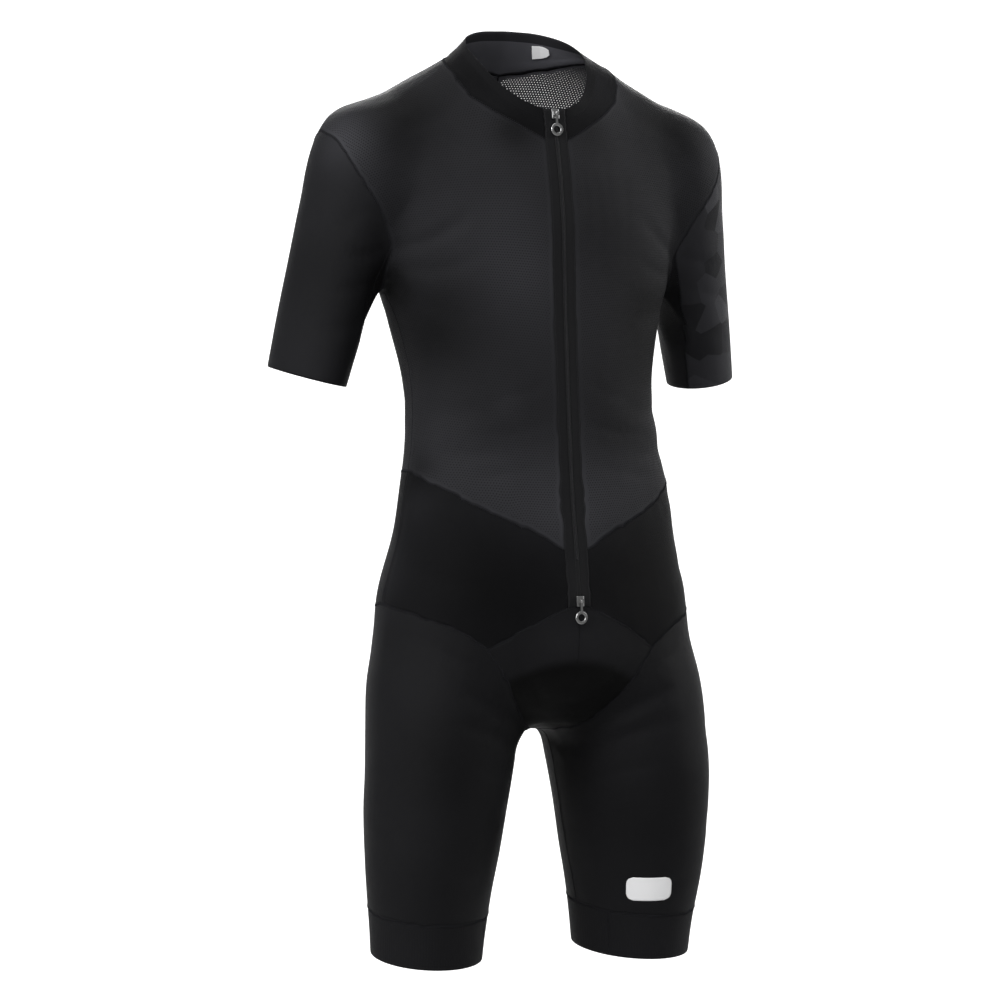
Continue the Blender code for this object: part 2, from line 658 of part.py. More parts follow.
def net(loop, wrap, across=NET_ACROSS, along=NET_ALONG, rounds=3, splits=3):
    """Points and triangles that fill a loop on the form; the loop's points come first."""
    stretch = np.array((1.0, across * math.sqrt(3) / 2 / along))
    flat = wrap.flatten(loop) * stretch
    grid = lattice(flat, across)
    count = len(loop)
    for _ in range(splits):
        triangles = triangulate(flat, grid)
        every = np.vstack((flat, grid))
        points = np.vstack((loop, wrap.lift(grid / stretch)))
        more = every[triangles[too_coarse(points, triangles)]].mean(1)
        grid = np.vstack((grid, more))
    points = np.vstack((loop, wrap.lift(grid / stretch)))
    triangles = facing_out(points, triangulate(flat, grid))
    for _ in range(rounds):
        triangles = turn_edges(points, triangles)
        points = evened(points, triangles, count)
    return points, turn_edges(points, triangles)


def drawn_in(loop, normals, amount, sharpest=0.30):
    """A closed loop whose edges all move inwards over the surface, mitred at corners."""
    ahead = unit(np.roll(loop, -1, axis=0) - loop)
    behind = np.roll(ahead, 1, axis=0)
    side_a, side_b = unit(np.cross(normals, ahead)), unit(np.cross(normals, behind))
    both = side_a + side_b
    share = np.maximum(1 + (side_a * side_b).sum(1), sharpest)
    return loop + both / share[:, None] * amount


def wall(points, triangles, normals, thick=CLOTH, lift=0.0):
    """A closed cloth wall whose outside is the given net, moved out by lift."""
    border = loop_order(triangles)
    outer = points + normals * lift
    outer[border] = drawn_in(outer[border], normals[border], SEAM_GAP / 2)
    inner = outer - normals * thick
    shift = len(outer)
    faces = [tuple(t) for t in triangles] + [tuple(i + shift for i in t[::-1]) for t in triangles]
    for start, end in zip(border, np.roll(border, -1)):
        if (outer[start] - outer[end]) @ RIM_CUT > 0:
            faces += [(end, start, start + shift), (end, start + shift, end + shift)]
        else:
            faces += [(end, start, end + shift), (start, start + shift, end + shift)]
    return np.vstack((outer, inner)), faces


def loop_order(triangles):
    """The border's points in the order in which the faces run round them."""
    directed = {(t[k], t[(k + 1) % 3]) for t in triangles for k in range(3)}
    after = {a: b for a, b in directed if (b, a) not in directed}
    first = min(after)
    order = [first]
    while after[order[-1]] != first:
        order.append(after[order[-1]])
    return order


# ---------------------------------------------------------------- collar and zip
def collar_net(s):
    """The left half of the collar, from the front edge to the middle of the back, in rows upwards:
    its points and its outward normals."""
    low = joined(s["neck_front"], s["neck_back"])
    top = through(COLLAR_TOP)
    here, there = lengths(low), lengths(top)
    top = np.stack([np.interp(here / here[-1], there / there[-1], top[:, k]) for k in range(3)], -1)
    share = np.linspace(0, 1, COLLAR_ROWS + 1)[:, None, None]
    points = low + (top - low) * share
    along = np.gradient(top, axis=0)
    up_normals = unit(np.cross(along, top - low))
    outward = np.sign((up_normals * (top - top.mean(0) * (0, 1, 1))).sum(1, keepdims=True))
    normals = unit(out_of(low) * (1 - share) + up_normals * outward * share)
    normals[:, 0, 0] = normals[:, -1, 0] = 0.0
    return points, unit(normals)


def quads(points):
    """Two triangles for each cell of a grid of points, cut along its shorter diagonal."""
    rows, columns = points.shape[:2]
    flat = points.reshape(-1, 3)
    faces = []
    for j in range(rows - 1):
        for i in range(columns - 1):
            a, b = j * columns + i, j * columns + i + 1
            c, d = b + columns, a + columns
            if np.linalg.norm(flat[a] - flat[c]) <= np.linalg.norm(flat[b] - flat[d]):
                faces += [(a, b, c), (a, c, d)]
            else:
                faces += [(a, b, d), (b, c, d)]
    return np.array(faces)


def grid_wall(points, normals, thick, lift=0.0):
    """A closed wall on a grid of points: rows by columns by three."""
    flat, sides = points.reshape(-1, 3), normals.reshape(-1, 3)
    triangles = quads(points)
    a, b, c = (flat[triangles[:, k]] for k in range(3))
    if (np.cross(b - a, c - a) * sides[triangles[:, 0]]).sum() < 0:
        triangles = triangles[:, ::-1]
    return wall(flat, triangles, sides, thick, lift)


def zip_line(x, collar_points, collar_normals):
    """A line at a fixed distance from the middle, from the zip's lower end to the collar's top."""
    body = np.vstack((zip_rail(x, ZIP_END, V_FRONT_Z)[:-1], zip_rail(x, V_FRONT_Z, NECK_FRONT_Z)))
    above = collar_points[1:, 0] * (0, 1, 1) + (x, 0, 0)
    normals = np.vstack((out_of(body[:-1]), collar_normals[:, 0]))
    return np.vstack((body, above)), normals


def build_collar_and_zip(s, collar_cloth, tape, coil_plastic, tag_cloth):
    points, normals = collar_net(s)
    whole = np.concatenate((points, points[:, -2::-1] * MIRROR), axis=1)
    whole_normals = np.concatenate((normals, normals[:, -2::-1] * MIRROR), axis=1)
    add_mesh("collar", *grid_wall(whole, whole_normals, CLOTH), collar_cloth)

    outer, outer_normals = zip_line(ZIP_HALF, points, normals)
    inner, inner_normals = zip_line(COIL_HALF, points, normals)
    band = np.stack((inner, outer), axis=1)
    solid, faces = grid_wall(band, np.stack((inner_normals, outer_normals), axis=1), CLOTH)
    add_mesh("zip_tape_left", solid, faces, tape)
    add_mesh("zip_tape_right", *mirrored(solid, faces), tape)
    both = np.stack((inner * MIRROR, inner), axis=1)
    both_normals = np.stack((inner_normals * MIRROR, inner_normals), axis=1)
    add_mesh("zip_coil", *grid_wall(both, both_normals, COIL_WALL, COIL_PROUD), coil_plastic)
    build_tag(points, normals, tag_cloth)
    return inner * (0, 1, 1), unit(inner_normals * (0, 1, 1))


def build_tag(points, normals, material):
    """The blank tag on the collar's inner side, straight on one side and rounded on the other."""
    width, height, thick = TAG
    along = (points[1, :, 0] + points[-2, :, 0]) / 2
    back = np.argmax(along)
    order = np.argsort(along[back:])
    grid, sides = [], []
    tall = np.linalg.norm(points[-1, -1] - points[0, -1])
    for across in np.linspace(0, 1, TAG_COLUMNS):
        x = TAG_MIDDLE_X + width * (across - 0.5)
        place = np.interp(x, along[back:][order], np.arange(back, len(along))[order])
        left = int(place)
        blend = place - left
        strip = points[:, left] * (1 - blend) + points[:, left + 1] * blend
        strip_sides = normals[:, left] * (1 - blend) + normals[:, left + 1] * blend
        bulge = math.sqrt(1 - (max(0.0, across - TAG_STRAIGHT) / TAG_ROUND)**2)
        up = TAG_MIDDLE_UP + height * bulge * np.linspace(-0.5, 0.5, TAG_ROWS) / tall
        level = up * COLLAR_ROWS
        low = level.astype(int)
        rest = (level - low)[:, None]
        grid.append(strip[low] * (1 - rest) + strip[low + 1] * rest)
        sides.append(strip_sides[low] * (1 - rest) + strip_sides[low + 1] * rest)
    grid, sides = np.array(grid), unit(np.array(sides))
    add_mesh("neck_tag", *grid_wall(grid - sides * (CLOTH + SEAM_GAP), sides, thick), material)


# ---------------------------------------------------------------- Blender objects
def finish(name, colour, roughness, metallic=0.0):
    material = bpy.data.materials.new(name)
    material.use_nodes = True
    shader = material.node_tree.nodes["Principled BSDF"]
    shader.inputs["Base Color"].default_value = (*colour, 1.0)
    shader.inputs["Roughness"].default_value = roughness
    shader.inputs["Metallic"].default_value = metallic
    return material


def add_mesh(name, points, faces, material):
    mesh = bpy.data.meshes.new(name)
    mesh.from_pydata([Vector(p) for p in points], [], faces)
    mesh.update()
    mesh.shade_smooth()
    mesh.set_sharp_from_angle(angle=math.radians(50))
    mesh.materials.append(material)
    thing = bpy.data.objects.new(name, mesh)
    bpy.context.scene.collection.objects.link(thing)


def mirrored(points, faces):
    return points * MIRROR, [f[::-1] for f in faces]


def panel(name, loop, wrap, material, both_sides=True):
    """A pattern piece of the left half, and its mirror image on the right."""
    points, triangles = net(loop, wrap)
    solid, faces = wall(points, triangles, out_of(points))
    if not both_sides:
        add_mesh(name, solid, faces, material)
        return
    add_mesh(name + "_left", solid, faces, material)
    add_mesh(name + "_right", *mirrored(solid, faces), material)


def closed(*lines):
    """A closed loop from lines that meet end to end."""
    return joined(*lines)[:-1]


def back_along(line):
    return line[::-1]


def build_panels(s, cloth):
    mesh_cloth, stretch, sleeve, gripper = cloth
    panel("front", closed(s["zip_edge"], s["v"], back_along(s["side"]),
                          back_along(s["arm_under_front"]), back_along(s["arm_front"]),
                          back_along(s["shoulder"]), back_along(s["neck_front"])),
          TRUNK_WRAP, mesh_cloth)
    panel("back", closed(s["back"], back_along(s["waist_back"]), back_along(s["side"]),
                         s["arm_under_back"], s["arm_back"], back_along(s["shoulder"]),
                         s["neck_back"]), TRUNK_WRAP, mesh_cloth)
    panel("hip_front", closed(s["zip_low"], back_along(s["arch"]), back_along(s["hip_front"]),
                              back_along(s["hip_side"]), back_along(s["v"])), TRUNK_WRAP, stretch)
    panel("hip_back", closed(s["hip_side"], s["hip_back"], back_along(s["hip_back_middle"]),
                             back_along(s["waist_back"])), TRUNK_WRAP, stretch)
    panel("leg", closed(s["inner_leg"], s["leg_ring"], back_along(s["inner_leg"]),
                        back_along(s["seat"]), back_along(s["hip_back"]), s["hip_front"], s["kite"]),
          LEG_WRAP, stretch)
    top, low = (np.roll(s[ring][:-1], -BAND_SEAM, axis=0) for ring in ("leg_ring", "hem_ring"))
    top, low = np.vstack((top, top[:1])), np.vstack((low, low[:1]))
    band_seam = pinned(onto(spaced(np.stack((top[0], low[0])), SEAM_STEP)), top[0], low[0])
    panel("gripper", closed(band_seam, low, back_along(band_seam), back_along(top)),
          LEG_WRAP, gripper)
    panel("sleeve_outer", closed(s["sleeve_front"], s["cuff_outer"], back_along(s["sleeve_back"]),
                                 s["arm_back"], s["arm_front"]), ARM_WRAP, sleeve)
    panel("sleeve_under", closed(s["sleeve_back"], s["cuff_under"], back_along(s["sleeve_front"]),
                                 s["arm_under_front"], s["arm_under_back"]), ARM_WRAP, sleeve)
    foot, end = zip_rail(COIL_HALF, ZIP_END, ZIP_END - ZIP_STEP)[:1], s["arch"][-1:]
    zip_foot = np.vstack((end * MIRROR, foot * MIRROR, foot, end))
    kite = closed(back_along(s["arch"]), s["kite"], back_along(s["kite"]) * MIRROR,
                  s["arch"] * MIRROR, zip_foot)
    panel("gusset_front", kite, CROTCH_WRAP, stretch, both_sides=False)


# ---------------------------------------------------------------- sliders and pulls
def shown(name, shape):
    """A new object that holds a shape."""
    mesh = bpy.data.meshes.new(name)
    shape.to_mesh(mesh)
    shape.free()
    thing = bpy.data.objects.new(name, mesh)
    bpy.context.scene.collection.objects.link(thing)
    return thing


def block(name, size, centre):
    """A plain block."""
    shape = bmesh.new()
    bmesh.ops.create_cube(shape, size=1.0)
    bmesh.ops.scale(shape, vec=size, verts=shape.verts)
    bmesh.ops.translate(shape, vec=centre, verts=shape.verts)
    return shown(name, shape)


def rod(name, radius, length, turn, centre, segments=12):
    """A plain round rod along Z, turned and moved."""
    shape = bmesh.new()
    bmesh.ops.create_cone(shape, cap_ends=True, segments=segments, radius1=radius, radius2=radius,
                          depth=length, matrix=Matrix.Translation(centre) @ turn)
    return shown(name, shape)


def washer(name, inner, outer, thick, turn, centre, segments=20, edge=0.0004):
    """A ring with a chamfered rectangular section, turned from Z and moved."""
    half = thick / 2
    lower = [(inner, -half + edge), (inner + edge, -half), (outer - edge, -half), (outer, -half + edge)]
    section = lower + [(radius, -height) for radius, height in lower[::-1]]
    count = len(section)
    points, faces = [], []
    for i in range(segments):
        angle = 2 * math.pi * i / segments
        points += [Vector((r * math.cos(angle), r * math.sin(angle), h)) for r, h in section]
        ahead = (i + 1) % segments
        for k in range(count):
            nxt = (k + 1) % count
            faces.append((i * count + k, ahead * count + k, ahead * count + nxt, i * count + nxt))
    mesh = bpy.data.meshes.new(name)
    mesh.from_pydata(points, [], [f[::-1] for f in faces])
    mesh.transform(Matrix.Translation(centre) @ turn)
    thing = bpy.data.objects.new(name, mesh)
    bpy.context.scene.collection.objects.link(thing)
    return thing


def fused(base, others, material, place):
    """base united with the others, which become hidden guides, and put in its place."""
    base.data.materials.append(material)
    base.matrix_world = place
    for i, other in enumerate(others):
        other.matrix_world = place
        other.hide_render = True
        other.display_type = "WIRE"
        join = base.modifiers.new("join_%d" % i, "BOOLEAN")
        join.operation = "UNION"
        join.solver = "EXACT"
        join.object = other
    return base


def place_on(point, normal, lean=0.0):
    """A frame at a point of the zip: X to the wearer's left, Y up along the cloth, Z off the cloth."""
    off = Vector(normal)
    up = off.cross(Vector(LEFT))
    if up.z < 0:
        up = -up
    turn = Matrix((Vector(LEFT), up, off)).transposed().to_4x4()
    return Matrix.Translation(Vector(point)) @ turn @ Matrix.Rotation(math.radians(lean), 4, "X")


def build_slider(which, point, normal, pull_frame, metal):
    """A slider with its pin, and the pull that hangs from the pin by its eye."""
    width, length, thick = SLIDER
    lug_wide, lug_long, lug_tall = LUG
    across = Matrix.Rotation(math.radians(90), 4, "Y")
    body = block("slider_" + which, (width, length, thick), (0, 0, SLIDER_GAP + thick / 2))
    soften = body.modifiers.new("soften", "BEVEL")
    soften.width = SLIDER_EDGE
    soften.segments = 2
    gap = EYE_WIDTH / 2 + SLIDER_GAP
    lugs = [block("lug", (lug_wide, lug_long, lug_tall),
                  (side * (gap + lug_wide / 2), 0, SLIDER_GAP + thick + lug_tall / 2 - SUNK))
            for side in (-1, 1)]
    pin = rod("pin", PIN_RADIUS, 2 * gap + lug_wide, across, (0, 0, PIN_HEIGHT))
    fused(body, lugs + [pin], metal, place_on(point, normal))

    eye = washer("eye", *EYE, EYE_WIDTH, across, (0, 0, 0), segments=12, edge=0.0003)
    ring_inner, ring_outer = PULL_RING
    stem_from, stem_to = -EYE[1] + SUNK, -PULL_REACH + ring_outer - SUNK
    stem = block("stem", (STEM_WIDTH, stem_from - stem_to, STEM_THICK),
                 (0, (stem_from + stem_to) / 2, 0))
    ring = washer("pull_" + which, ring_inner, ring_outer, PULL_THICK, Matrix.Identity(4),
                  (0, -PULL_REACH, 0))
    fused(ring, [stem, eye], metal, pull_frame)


def build_sliders(centre, normals, metal):
    """Both sliders: one at the collar's top edge and one at the zip's lower end."""
    coil_face = centre + normals * COIL_PROUD
    run = lengths(centre)
    for which, at in (("upper", run[-1] - UPPER_SLIDER_DOWN), ("lower", LOWER_SLIDER_UP)):
        point = np.array([np.interp(at, run, coil_face[:, k]) for k in range(3)])
        normal = unit(np.array([np.interp(at, run, normals[:, k]) for k in range(3)]))
        pin = point + normal * PIN_HEIGHT
        if which == "upper":
            pull_frame = place_on(pin, normal, UPPER_PULL_LEAN)
        else:
            pull_frame = place_on(pin, FRONT)
        build_slider(which, point, normal, pull_frame, metal)


def main():
    for thing in list(bpy.data.objects):
        bpy.data.objects.remove(thing, do_unlink=True)
    mesh_cloth = finish("mesh_cloth", (0.018, 0.018, 0.019), 0.75)
    stretch = finish("stretch_cloth", (0.010, 0.010, 0.011), 0.60)
    sleeve = finish("sleeve_cloth", (0.013, 0.013, 0.014), 0.55)
    gripper = finish("gripper_cloth", (0.012, 0.012, 0.013), 0.65)
    collar_cloth = finish("collar_cloth", (0.009, 0.009, 0.010), 0.60)
    tape = finish("zip_tape", (0.006, 0.006, 0.007), 0.70)
    coil_plastic = finish("coil_plastic", (0.060, 0.060, 0.062), 0.40)
    metal = finish("slider_metal", (0.62, 0.62, 0.62), 0.28, 1.0)
    tag_cloth = finish("tag_cloth", (0.82, 0.82, 0.82), 0.60)
    seams = draw_seams()
    build_panels(seams, (mesh_cloth, stretch, sleeve, gripper))
    centre, normals = build_collar_and_zip(seams, collar_cloth, tape, coil_plastic, tag_cloth)
    build_sliders(centre, normals, metal)


main()
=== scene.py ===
"""The looks of a short-sleeved road cycling skinsuit in worn form, empty inside.

Metres, but for two tables in millimetres, and +Z up. The front faces -Y and the wearer's left is +X.
Each cloth panel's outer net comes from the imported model. The nets are joined along their seams, refined
into one smooth surface and creased, and that surface is cut into thin panels again, each with its knit.
"""
import math

import bpy
import numpy as np
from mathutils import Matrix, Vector
from mathutils.kdtree import KDTree


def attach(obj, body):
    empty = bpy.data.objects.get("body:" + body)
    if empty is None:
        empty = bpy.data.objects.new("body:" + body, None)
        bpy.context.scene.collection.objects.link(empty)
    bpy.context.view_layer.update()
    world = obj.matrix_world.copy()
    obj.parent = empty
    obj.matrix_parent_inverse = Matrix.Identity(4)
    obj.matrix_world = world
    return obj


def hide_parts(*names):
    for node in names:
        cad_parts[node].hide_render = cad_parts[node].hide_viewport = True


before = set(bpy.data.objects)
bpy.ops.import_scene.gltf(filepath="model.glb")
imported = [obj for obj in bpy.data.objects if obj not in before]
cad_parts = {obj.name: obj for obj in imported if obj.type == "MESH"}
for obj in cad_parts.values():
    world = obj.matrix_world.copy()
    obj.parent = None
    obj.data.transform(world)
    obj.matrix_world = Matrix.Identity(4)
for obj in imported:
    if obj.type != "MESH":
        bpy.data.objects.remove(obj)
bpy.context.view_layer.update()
BODY = "garment"

# ---------------------------------------------------------------- sizes
MM = 0.001
WALL_EDGE = 0.0026          # a net's edges are longer than this, the edges across a wall's rim shorter
SEWN = 0.0010               # points of neighbouring nets this near each other are sewn together
LEVELS = 3                  # how often each triangle of a net is cut in four
FIT_ROUNDS = 3              # rounds that bring the smooth surface back through the net's own points
CLOTH = 0.0008              # wall of the knits
DOUBLE_CLOTH = 0.0015       # wall of the collar and the leg bands
COIL_BED = 0.0016           # thickness of the strip under the zip's teeth
CUT_GAP = 0.00008           # a cut edge is drawn back from its seam
CUT_DROP = 0.00012          # and rounded down by this

UNROLL_ROUNDS = 3           # of laying a panel flat with the least stretch

NET_PITCH = 0.0029          # between the holes of the open knit
NET_HOLE = 0.19             # radius of a hole, in pitches
NET_STITCH = 0.0009         # one stitch of the net's threads
NET_FREE = 0.0045           # the net has no holes this near a seam
KNIT_WIDE, KNIT_TALL = 0.0011, 0.0009       # one stitch of the fine knits
RIB_PITCH = 0.0030          # ribs of the leg bands
TWILL_PITCH = 0.0012        # diagonals of the zip tapes
NECK_SEAM = -0.0515         # height of the neck seam at the zip
# painted shade: the gusset's lower part is painted darker, as the shade under the belly and between the
# legs
GUSSET_SHADE_TOP = -0.584         # the gusset's painted shade begins below this height,
GUSSET_SHADE_ARCH = 4.0           # and lower at its sides, by this times the square of the distance
GUSSET_SHADE_SOFT = 0.007         # width of the change
FACET = 0.027               # size of a facet on the left sleeve
BAND_TALL = 0.0105          # of the plainer band along the collar's top edge, also painted darker as shade
GROOVE_HALF = 0.0004        # of a row that needles press into the cloth
GROOVE_SOFT = 0.0003
NEEDLE_ROWS = (0.0012, 0.0034)              # how far from a seam those rows run

STITCH_STEP = 0.0022        # between the crossing threads of a flat seam
STITCH_HALF = 0.0016        # half their width
THREAD = 0.00022            # radius of a thread
THREAD_SIDES = 4
THREAD_RINGS = ((0.12, 0.8), (0.5, 1.0), (0.88, 0.8))       # shares of its length and of its radius
BACKING_DEEP = 0.0006       # of the strip behind a seam, under the cloth's outer side
BACKING_THICK = 0.0005
NEEDLE_STEP = 0.0028        # stitches of a straight row
NEEDLE_FILL = 0.72          # share of the step that shows as thread
TAPE_ROW = 0.0016           # from the tape's outer edge to its row of stitches

ON_MIDDLE = 0.00001         # a point this near the middle plane lies on it
SEAM_NEAR = 0.004           # points this near the middle give the gusset's seam its place
TOOTH_STEP = 0.00125        # between two teeth of the same side
TOOTH_HALF = 0.00178        # from the middle to a tooth's outer end
TOOTH_LAP = 0.35            # share of that by which a tooth passes the middle
TOOTH_THICK = 0.00030       # radius of a tooth
COIL_RISE = 0.00035         # the teeth stand this much out of the coil's bed

LAY_ROUNDS = 3              # rounds that bring a trim's points onto the cloth
LAY_NEAR = 6                # points of the cloth that each of them leans on


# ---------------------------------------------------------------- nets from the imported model
def corners_of(points, triangles):
    return tuple(points[triangles[:, k]] for k in range(3))


def unit(vectors):
    return vectors / np.maximum(np.linalg.norm(vectors, axis=-1, keepdims=True), 1e-12)


def summed(at, values, count):
    """For each of count places, the sum of the values that are listed for it."""
    return np.stack([np.bincount(at, values[:, k], count) for k in range(values.shape[1])], -1)


def normals_of(points, triangles):
    a, b, c = corners_of(points, triangles)
    face = np.cross(b - a, c - a)
    return unit(sum(summed(triangles[:, k], face, len(points)) for k in range(3)))


def area_of(points, triangles):
    a, b, c = corners_of(points, triangles)
    return np.linalg.norm(np.cross(b - a, c - a), axis=1).sum() / 2


def tree_of(points):
    tree = KDTree(len(points))
    for i, point in enumerate(points):
        tree.insert(point, i)
    tree.balance()
    return tree


def nearest(tree, points):
    return np.array([tree.find(point)[1] for point in points])


def node_mesh(node):
    """The points and triangles of a node, with the points that share a place joined."""
    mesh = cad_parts[node].data
    mesh.calc_loop_triangles()
    places = np.empty(3 * len(mesh.vertices), np.float32)
    mesh.vertices.foreach_get("co", places)
    corners = np.empty(3 * len(mesh.loop_triangles), np.int32)
    mesh.loop_triangles.foreach_get("vertices", corners)
    places = places.reshape(-1, 3).astype(float)
    _, first, same = np.unique(np.round(places, 6), axis=0, return_index=True, return_inverse=True)
    return places[first], same.ravel()[corners].reshape(-1, 3)


def outer_net(node):
    """The outer side of a node's cloth wall, without its rim and its smaller inner side."""
    points, triangles = node_mesh(node)
    a, b, c = corners_of(points, triangles)
    shortest = np.min([np.linalg.norm(p - q, axis=1) for p, q in ((a, b), (b, c), (c, a))], axis=0)
    triangles = triangles[shortest > WALL_EDGE]
    side = np.arange(len(points))
    changed = True
    while changed:
        before = side.copy()
        lowest = side[triangles].min(1)
        for k in range(3):
            np.minimum.at(side, triangles[:, k], lowest)
        changed = (side != before).any()
    nets = [triangles[side[triangles[:, 0]] == s] for s in np.unique(side[triangles])]
    used, net = np.unique(max(nets, key=lambda net: area_of(points, net)), return_inverse=True)
    return points[used], net.reshape(-1, 3)


def beside(points, faces, others):
    """Which of the other points lie inside a border side of a net, and in which side each does."""
    sides, _ = rim_of(faces)
    start, along = points[sides[:, 0]], points[sides[:, 1]] - points[sides[:, 0]]
    share = ((others[:, None] - start) * along).sum(2) / (along**2).sum(1)
    off = np.linalg.norm(start + share[..., None] * along - others[:, None], axis=2)
    length = np.linalg.norm(along, axis=1)
    inside = (off < SEWN) & (share * length > SEWN) & ((1 - share) * length > SEWN)
    return [(i, sides[inside[i].argmax()]) for i in np.nonzero(inside.any(1))[0]]


def matched(nets):
    """The nets with a point of their own wherever a neighbour has one inside a straight side."""
    borders = [points[np.unique(rim_of(faces)[0])] for points, faces in nets]
    made = []
    for k, (points, faces) in enumerate(nets):
        others = np.vstack(borders[:k] + borders[k + 1:])
        found = beside(points, faces, others)
        while found:
            i, (a, b) = found[0]
            along = points[b] - points[a]
            share = (others[i] - points[a]) @ along / (along @ along)
            row = np.nonzero((faces == a).any(1) & (faces == b).any(1))[0][0]
            first, second = faces[row].copy(), faces[row].copy()
            first[first == b] = second[second == a] = len(points)
            faces = np.vstack((np.delete(faces, row, 0), first, second))
            points = np.vstack((points, points[a] + share * along))
            found = beside(points, faces, others)
        made.append((points, faces))
    return made


def sewn(points):
    """The place of each point, with the points of neighbouring nets sharing one, and those places."""
    tree = tree_of(points)
    first = np.array([min(i for _, i, _ in tree.find_range(point, SEWN)) for point in points])
    _, place = np.unique(first, return_inverse=True)
    count = np.bincount(place)
    return place, summed(place, points, len(count)) / count[:, None]


# ---------------------------------------------------------------- the smooth surface
def quartered(faces, count):
    """Each triangle cut in four. New points are numbered from count, one for each pair of ends."""
    sides = np.stack((faces, np.roll(faces, -1, axis=1)), -1).reshape(-1, 2)
    keys = sides.min(1).astype(np.int64) * count + sides.max(1)
    known, edge = np.unique(keys, return_inverse=True)
    ends = np.stack((known // count, known % count), -1)
    (a, b, c), (ab, bc, ca) = faces.T, (count + edge.reshape(-1, 3)).T
    quarters = ((a, ab, ca), (ab, b, bc), (ca, bc, c), (ab, bc, ca))
    small = np.stack([np.stack(corners, -1) for corners in quarters], 1).reshape(-1, 3)
    return small, ends, edge


class Refinement:
    """The levels of a net that is cut finer and smoothed by Loop's rules."""

    def __init__(self, faces, count):
        self.levels = []
        self.faces = [faces]
        self.counts = [count]
        for _ in range(LEVELS):
            small, ends, edge = quartered(faces, count)
            opposite = np.roll(faces, -2, axis=1).ravel()
            rim = np.bincount(edge) == 1
            on_rim = np.zeros(count, bool)
            on_rim[ends[rim]] = True
            valence = np.bincount(ends.ravel(), minlength=count)
            share = np.where(valence == 3, 3 / 16, 3 / (8 * np.maximum(valence, 1)))
            self.levels.append((ends, edge, opposite, rim, on_rim, valence, share))
            faces, count = small, count + len(ends)
            self.faces.append(faces)
            self.counts.append(count)

    def smooth(self, points):
        for ends, edge, opposite, rim, on_rim, valence, share in self.levels:
            count = len(points)
            a, b = points[ends[:, 0]], points[ends[:, 1]]
            wings = summed(edge, points[opposite], len(ends))
            middle = np.where(rim[:, None], (a + b) / 2, (a + b) * 3 / 8 + wings / 8)
            around = summed(ends[:, 0], b, count) + summed(ends[:, 1], a, count)
            beside = summed(ends[rim, 0], b[rim], count) + summed(ends[rim, 1], a[rim], count)
            inner = points * (1 - valence * share)[:, None] + around * share[:, None]
            old = np.where(on_rim[:, None], points * 3 / 4 + beside / 8, inner)
            points = np.vstack((old, middle))
        return points

    def through(self, points):
        """The smooth surface that runs through the given points."""
        control = points.copy()
        for _ in range(FIT_ROUNDS):
            control += points - self.smooth(control)[:len(points)]
        return self.smooth(control)
